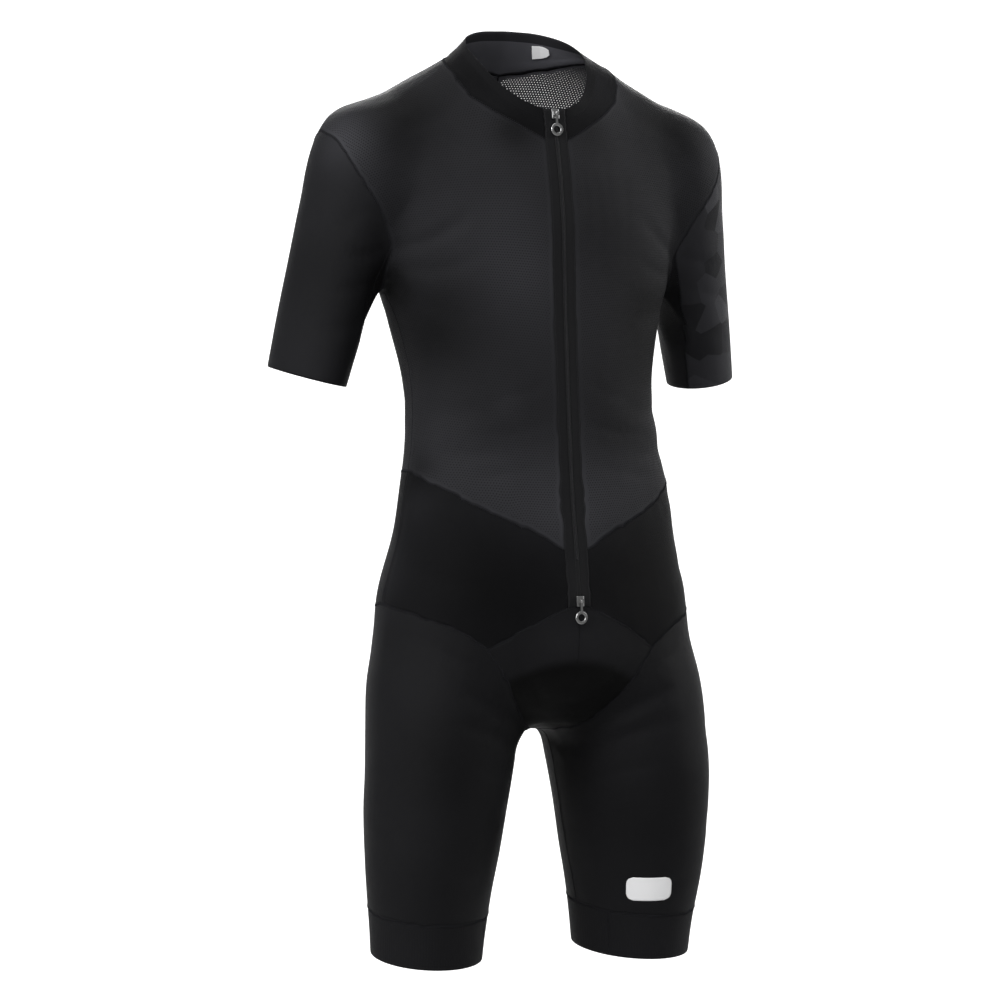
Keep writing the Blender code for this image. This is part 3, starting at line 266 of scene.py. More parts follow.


# Soft creases of the worn cloth, in millimetres: depth (troughs are negative), half width, the share of
# the depth on the wearer's left and right side, and marks near the cloth on the left side.
CREASES = [
    # front, from the armpit over the chest
    (-1.6, 9.0, 1.0, 1.3, [(158, -16, -166), (130, -62, -150), (98, -80, -128)]),
    (-1.3, 8.0, 0.8, 1.0, [(157, -12, -182), (130, -64, -186), (88, -84, -172)]),
    (-1.0, 10.0, 1.0, 0.7, [(152, -20, -215), (122, -70, -232), (85, -86, -236)]),
    (0.8, 12.0, 1.0, 0.8, [(150, -20, -200), (118, -72, -208), (80, -86, -200)]),
    # gathers beside the zip
    (-0.3, 4.2, 1.0, 0.3, [(26, -78, -72), (29, -86, -112), (26, -89, -150)]),
    (-0.3, 5.6, 1.0, 0.2, [(39, -74, -78), (44, -85, -130), (40, -89, -198)]),
    (-0.2, 4.5, 1.0, 0.4, [(56, -68, -64), (57, -83, -104), (62, -88, -146)]),
    (-0.3, 6.0, 1.0, 0.2, [(73, -60, -66), (79, -78, -118), (74, -86, -180)]),
    (-0.6, 6.0, 0.7, 1.0, [(20, -94, -300), (50, -92, -312), (80, -82, -318)]),
    (-0.7, 7.0, 1.0, 0.8, [(18, -98, -342), (55, -96, -350), (100, -75, -352)]),
    (-0.6, 6.5, 0.6, 1.0, [(20, -104, -384), (60, -100, -392), (105, -76, -398)]),
    # waist, front and side
    (-1.2, 10.0, 1.0, 0.7, [(136, -20, -322), (112, -62, -330), (75, -90, -326)]),
    (0.9, 11.0, 0.8, 1.0, [(136, -20, -345), (108, -68, -350), (60, -96, -344)]),
    (-1.4, 9.5, 0.8, 1.1, [(138, -14, -366), (112, -64, -374), (70, -96, -372)]),
    (-0.9, 11.0, 1.0, 0.8, [(142, -20, -412), (120, -64, -420), (90, -92, -430)]),
    # back, from the armpit and across the hollow of the back
    (-1.5, 9.5, 1.0, 0.9, [(160, 56, -168), (132, 92, -150), (92, 112, -126)]),
    (-1.3, 9.0, 0.8, 1.1, [(156, 52, -186), (128, 94, -190), (80, 116, -178)]),
    (-1.0, 11.0, 1.0, 0.8, [(148, 46, -222), (118, 92, -238), (70, 112, -236)]),
    (-1.2, 10.0, 0.9, 1.1, [(128, 30, -318), (92, 68, -330), (40, 90, -326)]),
    (-1.5, 9.0, 1.1, 0.8, [(130, 26, -350), (90, 64, -362), (30, 83, -356)]),
    (-1.2, 10.0, 0.8, 1.0, [(132, 24, -384), (92, 60, -392), (36, 79, -390)]),
    (-1.0, 11.0, 1.0, 0.7, [(136, 26, -424), (100, 62, -434), (50, 82, -430)]),
    # hips and groin
    (-1.0, 12.0, 0.9, 1.0, [(160, -18, -480), (134, -66, -500), (100, -98, -512)]),
    (-1.2, 9.0, 1.0, 1.0, [(150, -50, -560), (118, -88, -582), (82, -98, -604)]),
    (-1.8, 8.5, 1.0, 0.8, [(120, -90, -612), (84, -94, -628), (46, -66, -650)]),
    (-1.5, 8.0, 0.8, 1.1, [(126, -90, -646), (86, -90, -658), (50, -60, -676)]),
    (-1.1, 9.0, 1.0, 0.9, [(110, -96, -690), (78, -84, -696), (50, -54, -708)]),
    (1.0, 9.0, 1.0, 0.9, [(118, -94, -630), (82, -92, -644), (48, -62, -663)]),
    (-0.8, 11.0, 0.7, 1.0, [(50, -50, -735), (64, -78, -745), (96, -94, -742)]),
    (-1.0, 8.0, 1.0, 1.0, [(20, -78, -622), (36, -92, -604), (60, -104, -584)]),
    # seat and back of the thigh
    (-1.4, 11.0, 1.0, 0.9, [(40, 72, -650), (80, 92, -640), (124, 84, -622)]),
    (-1.1, 10.0, 0.8, 1.1, [(44, 62, -676), (84, 86, -672), (128, 80, -660)]),
    (-0.8, 10.0, 1.0, 0.8, [(60, 64, -775), (96, 76, -786), (136, 64, -782)]),
    (-0.7, 10.0, 0.7, 1.0, [(62, 56, -812), (100, 66, -822), (140, 54, -816)]),
    (-1.0, 12.0, 1.0, 0.8, [(166, 30, -545), (140, 70, -566), (104, 96, -590)]),
    # thigh, front and outside
    (-0.6, 12.0, 1.0, 0.8, [(168, -30, -640), (150, -66, -672), (124, -88, -700)]),
    (-0.5, 11.0, 0.8, 1.0, [(174, -20, -740), (156, -64, -760), (124, -84, -772)]),
    (-0.6, 10.0, 1.0, 0.7, [(76, -70, -806), (110, -80, -814), (146, -64, -808)]),
    # sleeves, front, outside and back
    (-1.5, 8.0, 1.0, 1.2, [(166, -14, -164), (190, -26, -172), (214, -18, -168)]),
    (-1.3, 8.0, 0.8, 1.0, [(170, 0, -192), (194, -18, -204), (222, -8, -206)]),
    (-1.0, 9.0, 1.0, 0.8, [(180, 10, -232), (204, -6, -244), (230, 8, -246)]),
    (-1.3, 8.0, 1.0, 0.9, [(168, 60, -170), (192, 84, -176), (220, 80, -170)]),
    (-1.1, 9.0, 0.8, 1.1, [(172, 68, -200), (198, 90, -212), (228, 84, -210)]),
    (-0.7, 11.0, 1.0, 0.7, [(236, 2, -120), (244, 30, -136), (240, 60, -142)]),
    (-0.8, 10.0, 0.8, 1.0, [(182, 72, -246), (206, 94, -256), (236, 88, -256)]),
    # yoke and shoulders
    (-0.6, 11.0, 1.0, 0.8, [(100, -36, -20), (140, -30, -40), (176, -24, -70)]),
    (-0.6, 10.0, 0.8, 1.0, [(96, 78, -20), (134, 82, -44), (172, 78, -78)]),
]
CREASE_SIDE = 0.5           # how far the cloth rises beside a trough, against its depth
CREASE_TAPER = 0.7          # how bluntly it ends: 1 is a plain sine
CREASE_STEP = 0.002         # between the points that a crease is drawn through
CREASE_REACH = 3            # half widths beyond which it moves nothing


# Painted light and shade: spots where the cloth is painted lighter where light falls on it and darker
# where it lies in shade, how much on the wearer's left and right side, and in millimetres the reach and
# the place on the left side.
LIGHT_AND_SHADE_SPOTS = [
    (-0.22, 0.32, 55, (58, -85, -160)),     # chest
    (0.10, 0.30, 45, (40, -90, -205)),
    (1.00, 1.08, 30, (205, -4, -60)),       # shoulder tip
    (0.35, 0.35, 35, (175, 45, -60)),
    (-0.50, -0.44, 50, (155, -28, -26)),    # front of the shoulder
    (-0.22, -0.22, 60, (120, 10, -5)),      # yoke
    (-0.90, -0.46, 64, (128, -52, -250)),   # ribs
    (-0.20, -0.20, 50, (125, 60, -270)),
    (-0.30, -0.45, 22, (160, -10, -200)),   # armpit
    (0.20, 0.20, 20, (125, -40, -372)),     # waist
    (-0.40, -0.26, 50, (68, -90, -345)),
    (0.22, 0.22, 18, (66, -93, -320)),
    (-0.30, -0.55, 22, (128, -35, -388)),
    (0.45, 0.52, 60, (30, -112, -425)),     # belly, over the seam
    (0.22, 0.22, 45, (85, -95, -400)),
    (0.30, 0.30, 55, (70, 115, -140)),      # back
    (0.25, 0.25, 60, (35, 85, -360)),
    (-0.50, -0.34, 65, (85, -100, -490)),   # hips, groin and seat
    (0.30, 0.90, 40, (172, -5, -490)),
    (0.00, 0.60, 28, (142, -38, -425)),
    (0.42, 0.42, 30, (22, -122, -558)),
    (-0.28, -0.28, 40, (20, -60, -645)),
    (-0.40, -0.40, 30, (40, -20, -700)),
    (-0.30, -0.30, 40, (30, 50, -660)),
    (0.22, 0.22, 50, (85, 100, -590)),
    (0.32, 0.18, 60, (165, 0, -640)),       # thigh
    (0.00, -0.26, 45, (142, -99, -680)),
    (-0.16, -0.16, 45, (75, -85, -760)),
    (0.26, 0.00, 50, (150, -50, -905)),     # leg band
    (0.22, 0.12, 40, (238, 20, -130)),      # sleeve
    (0.00, -0.28, 60, (215, 10, -190)),
    (-0.12, -0.20, 30, (185, 20, -215)),
    (0.62, -0.16, 36, (62, -24, 10)),       # collar and neck
    (-0.30, -0.45, 24, (44, -64, -42)),
]


def painted_light_and_shade(points):
    """How much lighter or darker the cloth is painted at each point of the surface, as painted light and
    shade.
    """
    tone = np.zeros(len(points))
    for on_left, on_right, reach, place in LIGHT_AND_SHADE_SPOTS:
        for side, strength in ((1, on_left), (-1, on_right)):
            off = points - np.array(place) * MM * (side, 1, 1)
            tone += strength * np.exp(-(off**2).sum(1) / (reach * MM)**2)
    return tone


def line_through(marks):
    """Points about one step apart on a smooth line through marks."""
    run = np.concatenate(([0], np.cumsum(np.linalg.norm(np.diff(marks, axis=0), axis=1))))
    slope = np.gradient(marks, run, axis=0)
    at = np.linspace(0, run[-1], max(4, int(run[-1] / CREASE_STEP)))
    i = np.clip(np.searchsorted(run, at) - 1, 0, len(run) - 2)
    span = (run[i + 1] - run[i])[:, None]
    t = (at - run[i])[:, None] / span
    return ((2 * t**3 - 3 * t**2 + 1) * marks[i] + (t**3 - 2 * t**2 + t) * span * slope[i]
            + (3 * t**2 - 2 * t**3) * marks[i + 1] + (t**3 - t**2) * span * slope[i + 1])


def creased(points, normals):
    """How far each point of the surface moves out for the creases."""
    tree = tree_of(points)
    moved = np.zeros(len(points))
    for depth, half, on_left, on_right, marks in CREASES:
        half *= MM
        for side, share in ((1, on_left), (-1, on_right)):
            line = points[nearest(tree, line_through(np.array(marks) * MM) * (side, 1, 1))]
            outs = normals[nearest(tree, line)]
            reach = CREASE_REACH * half
            near = ((points > line.min(0) - reach) & (points < line.max(0) + reach)).all(1)
            near = np.nonzero(near)[0]
            off = np.linalg.norm(points[near][:, None] - line, axis=2)
            which = off.argmin(1)
            off = off[np.arange(len(near)), which] / half
            facing = (normals[near] * outs[which]).sum(1)
            along = np.sin(math.pi * (which + 0.5) / len(line))**CREASE_TAPER
            profile = np.exp(-off**2) * (1 - CREASE_SIDE * off**2)
            moved[near] += depth * MM * share * along * profile * (facing > 0)
    return moved


# ---------------------------------------------------------------- panels
class Panel:
    """One pattern piece: its own net, refined, with its numbers in the shared surface."""

    def __init__(self, node, points, faces):
        self.node = node
        refinement = Refinement(faces, len(points))
        self.faces, self.counts = refinement.faces, refinement.counts
        flat, self.area = unrolled(points, faces)
        self.cut = refinement.through(flat)

    def number(self, shared_faces):
        """Takes the numbers of its points in the shared surface from that surface's own faces."""
        self.shared = np.empty(self.counts[-1], int)
        self.shared[self.faces[-1].ravel()] = shared_faces.ravel()

    def flat_size(self):
        return self.cut.max(0) - self.cut.min(0)


def unrolled(points, faces):
    """The panel laid flat at its real size, with its height upwards, and its area."""
    mesh = bpy.data.meshes.new("flat")
    mesh.from_pydata([Vector(p) for p in points], [], faces.tolist())
    mesh.uv_layers.new(name="flat")
    thing = bpy.data.objects.new("flat", mesh)
    bpy.context.scene.collection.objects.link(thing)
    bpy.context.view_layer.objects.active = thing
    thing.select_set(True)
    bpy.ops.object.mode_set(mode="EDIT")
    bpy.ops.mesh.select_all(action="SELECT")
    bpy.ops.uv.unwrap(method="MINIMUM_STRETCH", iterations=UNROLL_ROUNDS, margin=0.0)
    bpy.ops.object.mode_set(mode="OBJECT")
    flat = np.empty(2 * len(mesh.loops), np.float32)
    mesh.uv_layers["flat"].uv.foreach_get("vector", flat)
    corner = np.empty(len(mesh.loops), np.int32)
    mesh.loops.foreach_get("vertex_index", corner)
    cut = np.zeros((len(points), 2))
    cut[corner] = flat.reshape(-1, 2)
    bpy.data.objects.remove(thing)
    bpy.data.meshes.remove(mesh)
    area = area_of(points, faces)
    a, b, c = corners_of(cut, faces)
    side, other = b - a, c - a
    flat_area = np.abs(side[:, 0] * other[:, 1] - side[:, 1] * other[:, 0]).sum() / 2
    cut = (cut - cut.mean(0)) * math.sqrt(area / flat_area)
    rise = np.linalg.lstsq(cut, points[:, 2] - points[:, 2].mean(), rcond=None)[0]
    up = rise / np.linalg.norm(rise)
    return np.stack((cut @ (up[1], -up[0]), cut @ up), -1), area


def rim_of(faces):
    """The sides that only one face has, with the place of each in the list of all sides."""
    sides = np.stack((faces, np.roll(faces, -1, axis=1)), -1).reshape(-1, 2)
    keys = sides.min(1).astype(np.int64) * (faces.max() + 1) + sides.max(1)
    _, where, uses = np.unique(keys, return_inverse=True, return_counts=True)
    alone = uses[where] == 1
    return sides[alone], alone


EDGES_AT_POINT = 6          # at most this many seams' edges are looked at where seams meet


def to_edges(points, line_sides):
    """How far each of the surface's points lies from the nearest of some of its edges."""
    used, sides = np.unique(line_sides, return_inverse=True)
    sides = sides.reshape(-1, 2)
    beside = np.full((len(used), EDGES_AT_POINT), -1)
    filled = np.zeros(len(used), int)
    for k, (a, b) in enumerate(sides):
        for end in (a, b):
            if filled[end] < EDGES_AT_POINT:
                beside[end, filled[end]] = k
                filled[end] += 1
    beside = np.where(beside < 0, beside[:, :1], beside)
    places = points[used]
    which = nearest(tree_of(places), points)
    best = np.full(len(points), np.inf)
    for k in range(beside.shape[1]):
        start, end = places[sides[beside[which, k]]].transpose(1, 0, 2)
        along = end - start
        t = ((points - start) * along).sum(1) / np.maximum((along**2).sum(1), 1e-15)
        at = start + np.clip(t, 0, 1)[:, None] * along
        best = np.minimum(best, np.linalg.norm(points - at, axis=1))
    return best


def add_piece(name, points, faces, material, slot):
    """A new mesh that rides on the garment."""
    mesh = bpy.data.meshes.new(name)
    mesh.vertices.add(len(points))
    mesh.vertices.foreach_set("co", np.asarray(points, np.float32).ravel())
    faces = np.asarray(faces, np.int32)
    mesh.loops.add(faces.size)
    mesh.loops.foreach_set("vertex_index", faces.ravel())
    mesh.polygons.add(len(faces))
    mesh.polygons.foreach_set("loop_start", np.arange(len(faces), dtype=np.int32) * faces.shape[1])
    mesh.update(calc_edges=True)
    mesh.shade_smooth()
    mesh.materials.append(material)
    piece = bpy.data.objects.new(name, mesh)
    bpy.context.scene.collection.objects.link(piece)
    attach(piece, BODY)
    return piece


def add_mark(piece, name, values):
    """A value at each point of a piece, for its finish."""
    layer = piece.data.attributes.new(name, "FLOAT", "POINT")
    layer.data.foreach_set("value", np.asarray(values, np.float32))


def add_panel(panel, surface, normals, marks, thick, material, slot):
    """The thin cloth of one panel: outside fine, inside coarser, with a rim between them."""
    fine, coarse = panel.faces[-1], panel.faces[-2]
    outer = surface[panel.shared].copy()
    outward = normals[panel.shared]
    rim_sides, _ = rim_of(fine)
    on_rim = np.zeros(len(outer), bool)
    on_rim[rim_sides] = True
    sides = np.stack((fine, np.roll(fine, -1, axis=1)), -1).reshape(-1, 2)
    leads = sides[on_rim[sides[:, 0]] & ~on_rim[sides[:, 1]]]
    count = np.maximum(np.bincount(leads[:, 0], minlength=len(outer)), 1)[:, None]
    inwards = summed(leads[:, 0], outer[leads[:, 1]] - outer[leads[:, 0]], len(outer)) / count
    inwards -= (inwards * outward).sum(1, keepdims=True) * outward
    outer += unit(inwards) * CUT_GAP * on_rim[:, None]
    inside_count = panel.counts[-2]
    inner = outer[:inside_count] - outward[:inside_count] * thick
    outer -= outward * (CUT_DROP * on_rim)[:, None]
    shift = len(outer)
    coarse_sides, alone = rim_of(coarse)
    _, _, edge = quartered(coarse, inside_count)
    middle = inside_count + edge[alone]
    a, b = coarse_sides.T
    rim = np.vstack((np.stack((middle, a, a + shift), -1), np.stack((b, middle, b + shift), -1),
                     np.stack((middle, a + shift, b + shift), -1)))
    faces = np.vstack((fine, coarse[:, ::-1] + shift, rim))
    piece = add_piece(panel.node + "_cloth", np.vstack((outer, inner)), faces, material, slot)
    cut = np.vstack((panel.cut, panel.cut[:inside_count]))
    layer = piece.data.uv_layers.new(name="cut")
    layer.uv.foreach_set("vector", cut[faces.ravel()].astype(np.float32).ravel())
    for name, values in marks.items():
        own = values[panel.shared]
        add_mark(piece, name, np.concatenate((own, own[:inside_count])))
    add_mark(piece, "inside", np.arange(len(outer) + len(inner)) >= shift)
    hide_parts(panel.node)
    width, length = panel.flat_size()
    if slot != "coil_plastic":
        min(panel.area, width * length)
    return piece


# ---------------------------------------------------------------- materials
class Value:
    """A socket that gives a value in a material, with arithmetic that adds Math nodes."""

    def __init__(self, finish, socket):
        self.finish = finish
        self.socket = socket

    def maths(self, operation, *values):
        return self.finish.node("ShaderNodeMath", {"operation": operation}, *values)

    def __add__(self, other):
        return self.maths("ADD", self, other)

    def __radd__(self, other):
        return self.maths("ADD", other, self)

    def __sub__(self, other):
        return self.maths("SUBTRACT", self, other)

    def __rsub__(self, other):
        return self.maths("SUBTRACT", other, self)

    def __mul__(self, other):
        return self.maths("MULTIPLY", self, other)

    def __rmul__(self, other):
        return self.maths("MULTIPLY", other, self)

    def __truediv__(self, other):
        return self.maths("DIVIDE", self, other)

    def __abs__(self):
        return self.maths("ABSOLUTE", self)

    def fraction(self):
        return self.maths("FRACT", self)

    def sine(self):
        return self.maths("SINE", self)

    def least(self, other):
        return self.maths("MINIMUM", self, other)

    def most(self, other):
        return self.maths("MAXIMUM", self, other)

    def below(self, edge, softness):
        """1 where the value lies below an edge, 0 above it, and soft between."""
        return self.finish.node("ShaderNodeMapRange", {"interpolation_type": "SMOOTHSTEP"}, self,
                                edge - softness, edge + softness, 1.0, 0.0)


class Finish:
    """A material under construction."""

    def __init__(self, name, **constants):
        self.material = bpy.data.materials.new(name)
        self.material.use_nodes = True
        self.nodes = self.material.node_tree.nodes
        self.links = self.material.node_tree.links
        self.shader = self.nodes["Principled BSDF"]
        for socket, value in constants.items():
            self.shader.inputs[socket.replace("_", " ")].default_value = value

    def node(self, kind, settings=None, *values, output=0, **named):
        made = self.nodes.new(kind)
        for setting, value in (settings or {}).items():
            setattr(made, setting, value)
        for key, value in [*enumerate(values), *((k.replace("_", " "), v) for k, v in named.items())]:
            self.give(made.inputs[key], value)
        return Value(self, made.outputs[output])

    def give(self, socket, value):
        if isinstance(value, Value):
            self.links.new(value.socket, socket)
        elif value is not None:
            socket.default_value = value

    def shade(self, **values):
        for socket, value in values.items():
            self.give(self.shader.inputs[socket.replace("_", " ")], value)
        return self.material

    def attribute(self, name, output="Fac"):
        return self.node("ShaderNodeAttribute", {"attribute_name": name}, output=output)

    def cut(self, wide, tall):
        """Place on the laid-out cloth across and along it, counted in steps of the given sizes."""
        place = self.attribute("cut", "Vector")
        across = self.node("ShaderNodeSeparateXYZ", None, place, output=0)
        along = self.node("ShaderNodeSeparateXYZ", None, place, output=1)
        return across / wide, along / tall

    def where(self):
        return self.node("ShaderNodeTexCoord", output="Object")

    def coordinate(self, axis):
        return self.node("ShaderNodeSeparateXYZ", None, self.where(), output=axis)

    def clouds(self, scale, detail=3.0):
        return self.node("ShaderNodeTexNoise", None, Vector=self.where(), Scale=scale, Detail=detail)

    def mix(self, share, first, second):
        """first where share is 0 and second where it is 1, both colours."""
        made = self.nodes.new("ShaderNodeMix")
        made.data_type = "RGBA"
        for index, value in ((0, share), (6, first), (7, second)):
            self.give(made.inputs[index], value)
        return Value(self, made.outputs[2])

    def bump(self, height, strength, distance=0.001, normal=None):
        return self.node("ShaderNodeBump", None, Height=height, Strength=strength, Distance=distance,
                         Normal=normal)


def grey(value, blue=0.13):
    """A nearly neutral colour, a little cool."""
    return (value, value, value * (1 + blue), 1.0)


def holes(finish, pitch):
    """How far a point lies from the nearest hole of a staggered net, in pitches, in a hexagon's way."""
    across, along = finish.cut(pitch, pitch * math.sqrt(3))
    best = None
    for shift in (0.0, 0.5):
        x = abs((across + shift).fraction() - 0.5)
        y = abs((along + shift).fraction() - 0.5) * math.sqrt(3)
        off = x.most(x * 0.5 + y * (math.sqrt(3) / 2))
        best = off if best is None else best.least(off)
    return best


def knit(finish, wide=KNIT_WIDE, tall=KNIT_TALL):
    """The height of a fine plain knit: columns of small V stitches."""
    across, along = finish.cut(wide, tall)
    leg = abs(across.fraction() - 0.5)
    row = ((along + leg * 1.3).fraction() - 0.5)
    return 1 - abs(row) * 1.6 - abs(leg - 0.25) * 1.5


PLAIN_TONE = 0.35           # of cloth with no painted light or shade
TONE_CLOUDS = 0.25          # how much it varies
LIGHT_AND_SHADE_SHARE = 0.65           # and how much the painted light and shade of the spots change it


def tone_and_painted_light(finish, scale):
    """0 to 1 from the darkest to the lightest cloth: a random tone, plus the painted light and shade of
    the spots.
    """
    return (PLAIN_TONE - TONE_CLOUDS / 2 + finish.clouds(scale, 4.0) * TONE_CLOUDS
            + finish.attribute("tone") * LIGHT_AND_SHADE_SHARE)


def groove(off, row):
    """1 in a narrow groove a given way from an edge, and 0 elsewhere."""
    return abs(off - row).below(GROOVE_HALF, GROOVE_SOFT)


def seam_wear(finish, height, strength=0.22):
    """A height with the rows that a seam's needles press into the cloth beside it."""
    off = finish.attribute("seam_off")
    for row in NEEDLE_ROWS:
        height = height - strength * groove(off, row)
    return height


def open_knit(name, see_through, inner=0.030):
    """The net of the front and back: light threads round hexagon holes. Its inner side is painted lighter,
    as the light that comes through the net, and where the net is not see-through its holes are painted
    near black, as the shade inside.
    """
    finish = Finish(name, Sheen_Weight=0.012, Sheen_Roughness=0.5, Specular_IOR_Level=0.06)
    off = holes(finish, NET_PITCH)
    near_seam = finish.attribute("seam_off").below(NET_FREE, 0.0006)
    hole = off.below(NET_HOLE, 0.08) * (1 - near_seam)
    thread = finish.mix(tone_and_painted_light(finish, 9.0), grey(0.004), grey(0.036))
    # painted light: the net's inner side lighter, as the light that comes through the net
    thread = finish.mix(finish.attribute("inside"), thread, grey(inner))
    # painted shade: holes that are not see-through are near black, as the shade inside seen through them
    colour = finish.mix(hole, thread, grey(0.004))
    height = (1 - hole) * 0.8 + knit(finish, NET_STITCH, NET_STITCH) * 0.2
    normal = finish.bump(seam_wear(finish, height), 0.6, 0.0007)
    return finish.shade(Base_Color=colour, Roughness=0.62 + hole * 0.2, Normal=normal,
                        Alpha=1 - hole * see_through)


def fine_knit(name, dark, light, roughness=0.52, ribs=0.0, painted_shade=None, gloss=0.06):
    """The smooth stretch knits."""
    finish = Finish(name, Sheen_Weight=gloss / 5, Sheen_Roughness=0.4, Specular_IOR_Level=gloss)
    height = knit(finish)
    if ribs:
        across, _ = finish.cut(RIB_PITCH, 1.0)
        height = height * 0.4 + ribs * (across * (2 * math.pi)).sine()
    colour = finish.mix(tone_and_painted_light(finish, 7.0), grey(dark), grey(light))
    # painted shade: the gusset painted darker low down, as the shade under the belly and between the legs
    if painted_shade:
        across, level = finish.coordinate(0), finish.coordinate(2)
        shaded_part = (level + across * across * GUSSET_SHADE_ARCH).below(GUSSET_SHADE_TOP, GUSSET_SHADE_SOFT)
        colour = finish.mix(shaded_part, colour, grey(painted_shade))
    return finish.shade(Base_Color=colour, Roughness=roughness + finish.clouds(30.0) * 0.08,
                        Normal=finish.bump(seam_wear(finish, height), 0.35, 0.0005))


FACET_SHADES = ((0.30, 0.4), (0.50, 0.3), (0.72, 0.3))      # share of the facets, and what each gains


def facet_knit(name, dark, light):
    """The left sleeve's knit, with a tonal print of plain facets."""
    finish = Finish(name, Sheen_Weight=0.012, Sheen_Roughness=0.4, Specular_IOR_Level=0.06)
    across, along = finish.cut(FACET, FACET)
    place = finish.node("ShaderNodeCombineXYZ", None, across, along, 0.0)
    cells = {"voronoi_dimensions": "2D", "feature": "F1", "distance": "EUCLIDEAN"}
    cell = finish.node("ShaderNodeTexVoronoi", cells, Vector=place, Scale=1.0, Randomness=0.8,
                       output="Color")
    tone = finish.node("ShaderNodeSeparateXYZ", None, cell, output=0)
    shade = sum(tone.below(edge, 0.01) * share for edge, share in FACET_SHADES)
    colour = finish.mix(shade, grey(dark), grey(light))
    return finish.shade(Base_Color=colour, Roughness=0.62 - shade * 0.16,
                        Normal=finish.bump(seam_wear(finish, knit(finish)), 0.35, 0.0005))


def collar_knit(name):
    """The collar's double knit, with a plainer band along its top edge that is also painted darker as
    shade, and its inner side painted lighter, as the light that falls into it.
    """
    finish = Finish(name, Sheen_Weight=0.008, Sheen_Roughness=0.5, Specular_IOR_Level=0.03)
    off = finish.attribute("open_off")
    band = off.below(BAND_TALL, GROOVE_SOFT)
    height = knit(finish) * (1 - band * 0.7) - 0.8 * groove(off, BAND_TALL)
    outside = finish.mix(tone_and_painted_light(finish, 9.0), grey(0.0020), grey(0.0100))
    # painted light: the collar's inner side lighter, as the light that falls into it
    colour = finish.mix(finish.attribute("inside"), outside, grey(0.064))
    # painted shade: the band along the top edge darker
    colour = finish.mix(band * 0.75, colour, grey(0.0040))
    return finish.shade(Base_Color=colour, Roughness=0.68 - band * 0.08,
                        Normal=finish.bump(seam_wear(finish, height), 0.4, 0.0005))


def woven_tape(name):
    """The zip's tapes: a fine twill, covered by the collar's knit above the neck seam."""
    finish = Finish(name, Specular_IOR_Level=0.12)
    across, along = finish.cut(TWILL_PITCH, TWILL_PITCH)
    height = ((across + along) * (2 * math.pi)).sine() * 0.5 + 0.5
    level = finish.coordinate(2)
    weave = finish.mix(height, grey(0.0040), grey(0.0075))
    colour = finish.mix(level.below(NECK_SEAM, 0.0004), grey(0.0055), weave)
    return finish.shade(Base_Color=colour, Roughness=0.75, Normal=finish.bump(height, 0.5, 0.0004))


def plain(name, colour, roughness, metallic=0.0, grain=0.0, scale=900.0, vary=0.25, gloss=0.5):
    """A finish whose colour and roughness vary a little, with a fine grain."""
    finish = Finish(name, Metallic=metallic, Specular_IOR_Level=gloss)
    tone = finish.clouds(60.0)
    dark = tuple(c * (1 - vary) for c in colour[:3]) + (1.0,)
    normal = finish.bump(finish.clouds(scale, 1.0), grain, 0.0002) if grain else None
    return finish.shade(Base_Color=finish.mix(tone, dark, colour), Roughness=roughness + tone * 0.1,
                        Normal=normal)


MATERIALS = {
    "mesh_front": open_knit("mesh_front", 0.0),
    # its inner side painted lighter, as the light that comes through the net
    "mesh_back": open_knit("mesh_back", 0.96, 0.058),
    "stretch": fine_knit("stretch_knit", 0.0015, 0.0150),
    "hips": fine_knit("hip_knit", 0.0008, 0.0110, gloss=0.036),
    # the gusset's lower part is painted darker, as painted shade
    "gusset": fine_knit("gusset_knit", 0.0015, 0.0150, painted_shade=0.0006),
    "sleeve": fine_knit("sleeve_knit", 0.0030, 0.0200),
    "sleeve_facets": facet_knit("sleeve_facets", 0.0120, 0.0310),
    "gripper": fine_knit("gripper_knit", 0.0020, 0.0150, 0.58, ribs=0.3),
    "collar": collar_knit("collar_knit"),
    "tape": woven_tape("zip_tape_weave"),
    "coil": plain("coil_nylon", grey(0.016), 0.42, gloss=0.3),
    "bed": plain("coil_bed", grey(0.005), 0.6, gloss=0.16),
    "metal": plain("slider_nickel", grey(0.36, 0.0), 0.25, 1.0, grain=0.15, vary=0.12),
    "tag": plain("tag_film", grey(0.80, 0.01), 0.45, grain=0.2, vary=0.03),
    "thread": plain("seam_thread", grey(0.0210), 0.60, gloss=0.05),
    "dark_thread": plain("gusset_thread", grey(0.0030), 0.60, gloss=0.05),
    "print": plain("print_film", grey(0.72, 0.01), 0.38, grain=0.1, vary=0.03),
}


def both(*pieces):
    """The names of the left and the right one of each piece."""
    return [piece + side for piece in pieces for side in ("_left", "_right")]


# Each panel's finish, record slot and wall.
PANELS = [
    *((node, "mesh_front", "mesh_cloth", CLOTH) for node in both("front")),
    *((node, "mesh_back", "mesh_cloth", CLOTH) for node in both("back")),
    *((node, "hips", "stretch_cloth", CLOTH) for node in both("hip_front", "hip_back")),
    *((node, "stretch", "stretch_cloth", CLOTH) for node in both("leg")),
    ("gusset_front", "gusset", "stretch_cloth", CLOTH),
    *((node, "gripper", "gripper_cloth", DOUBLE_CLOTH) for node in both("gripper")),
    ("sleeve_outer_left", "sleeve_facets", "sleeve_cloth", CLOTH),
    ("sleeve_outer_right", "sleeve", "sleeve_cloth", CLOTH),
    *((node, "sleeve", "sleeve_cloth", CLOTH) for node in both("sleeve_under")),
    ("collar", "collar", "collar_cloth", DOUBLE_CLOTH),
    *((node, "tape", "zip_tape", CLOTH) for node in both("zip_tape")),
    ("zip_coil", "bed", "coil_plastic", COIL_BED),
]


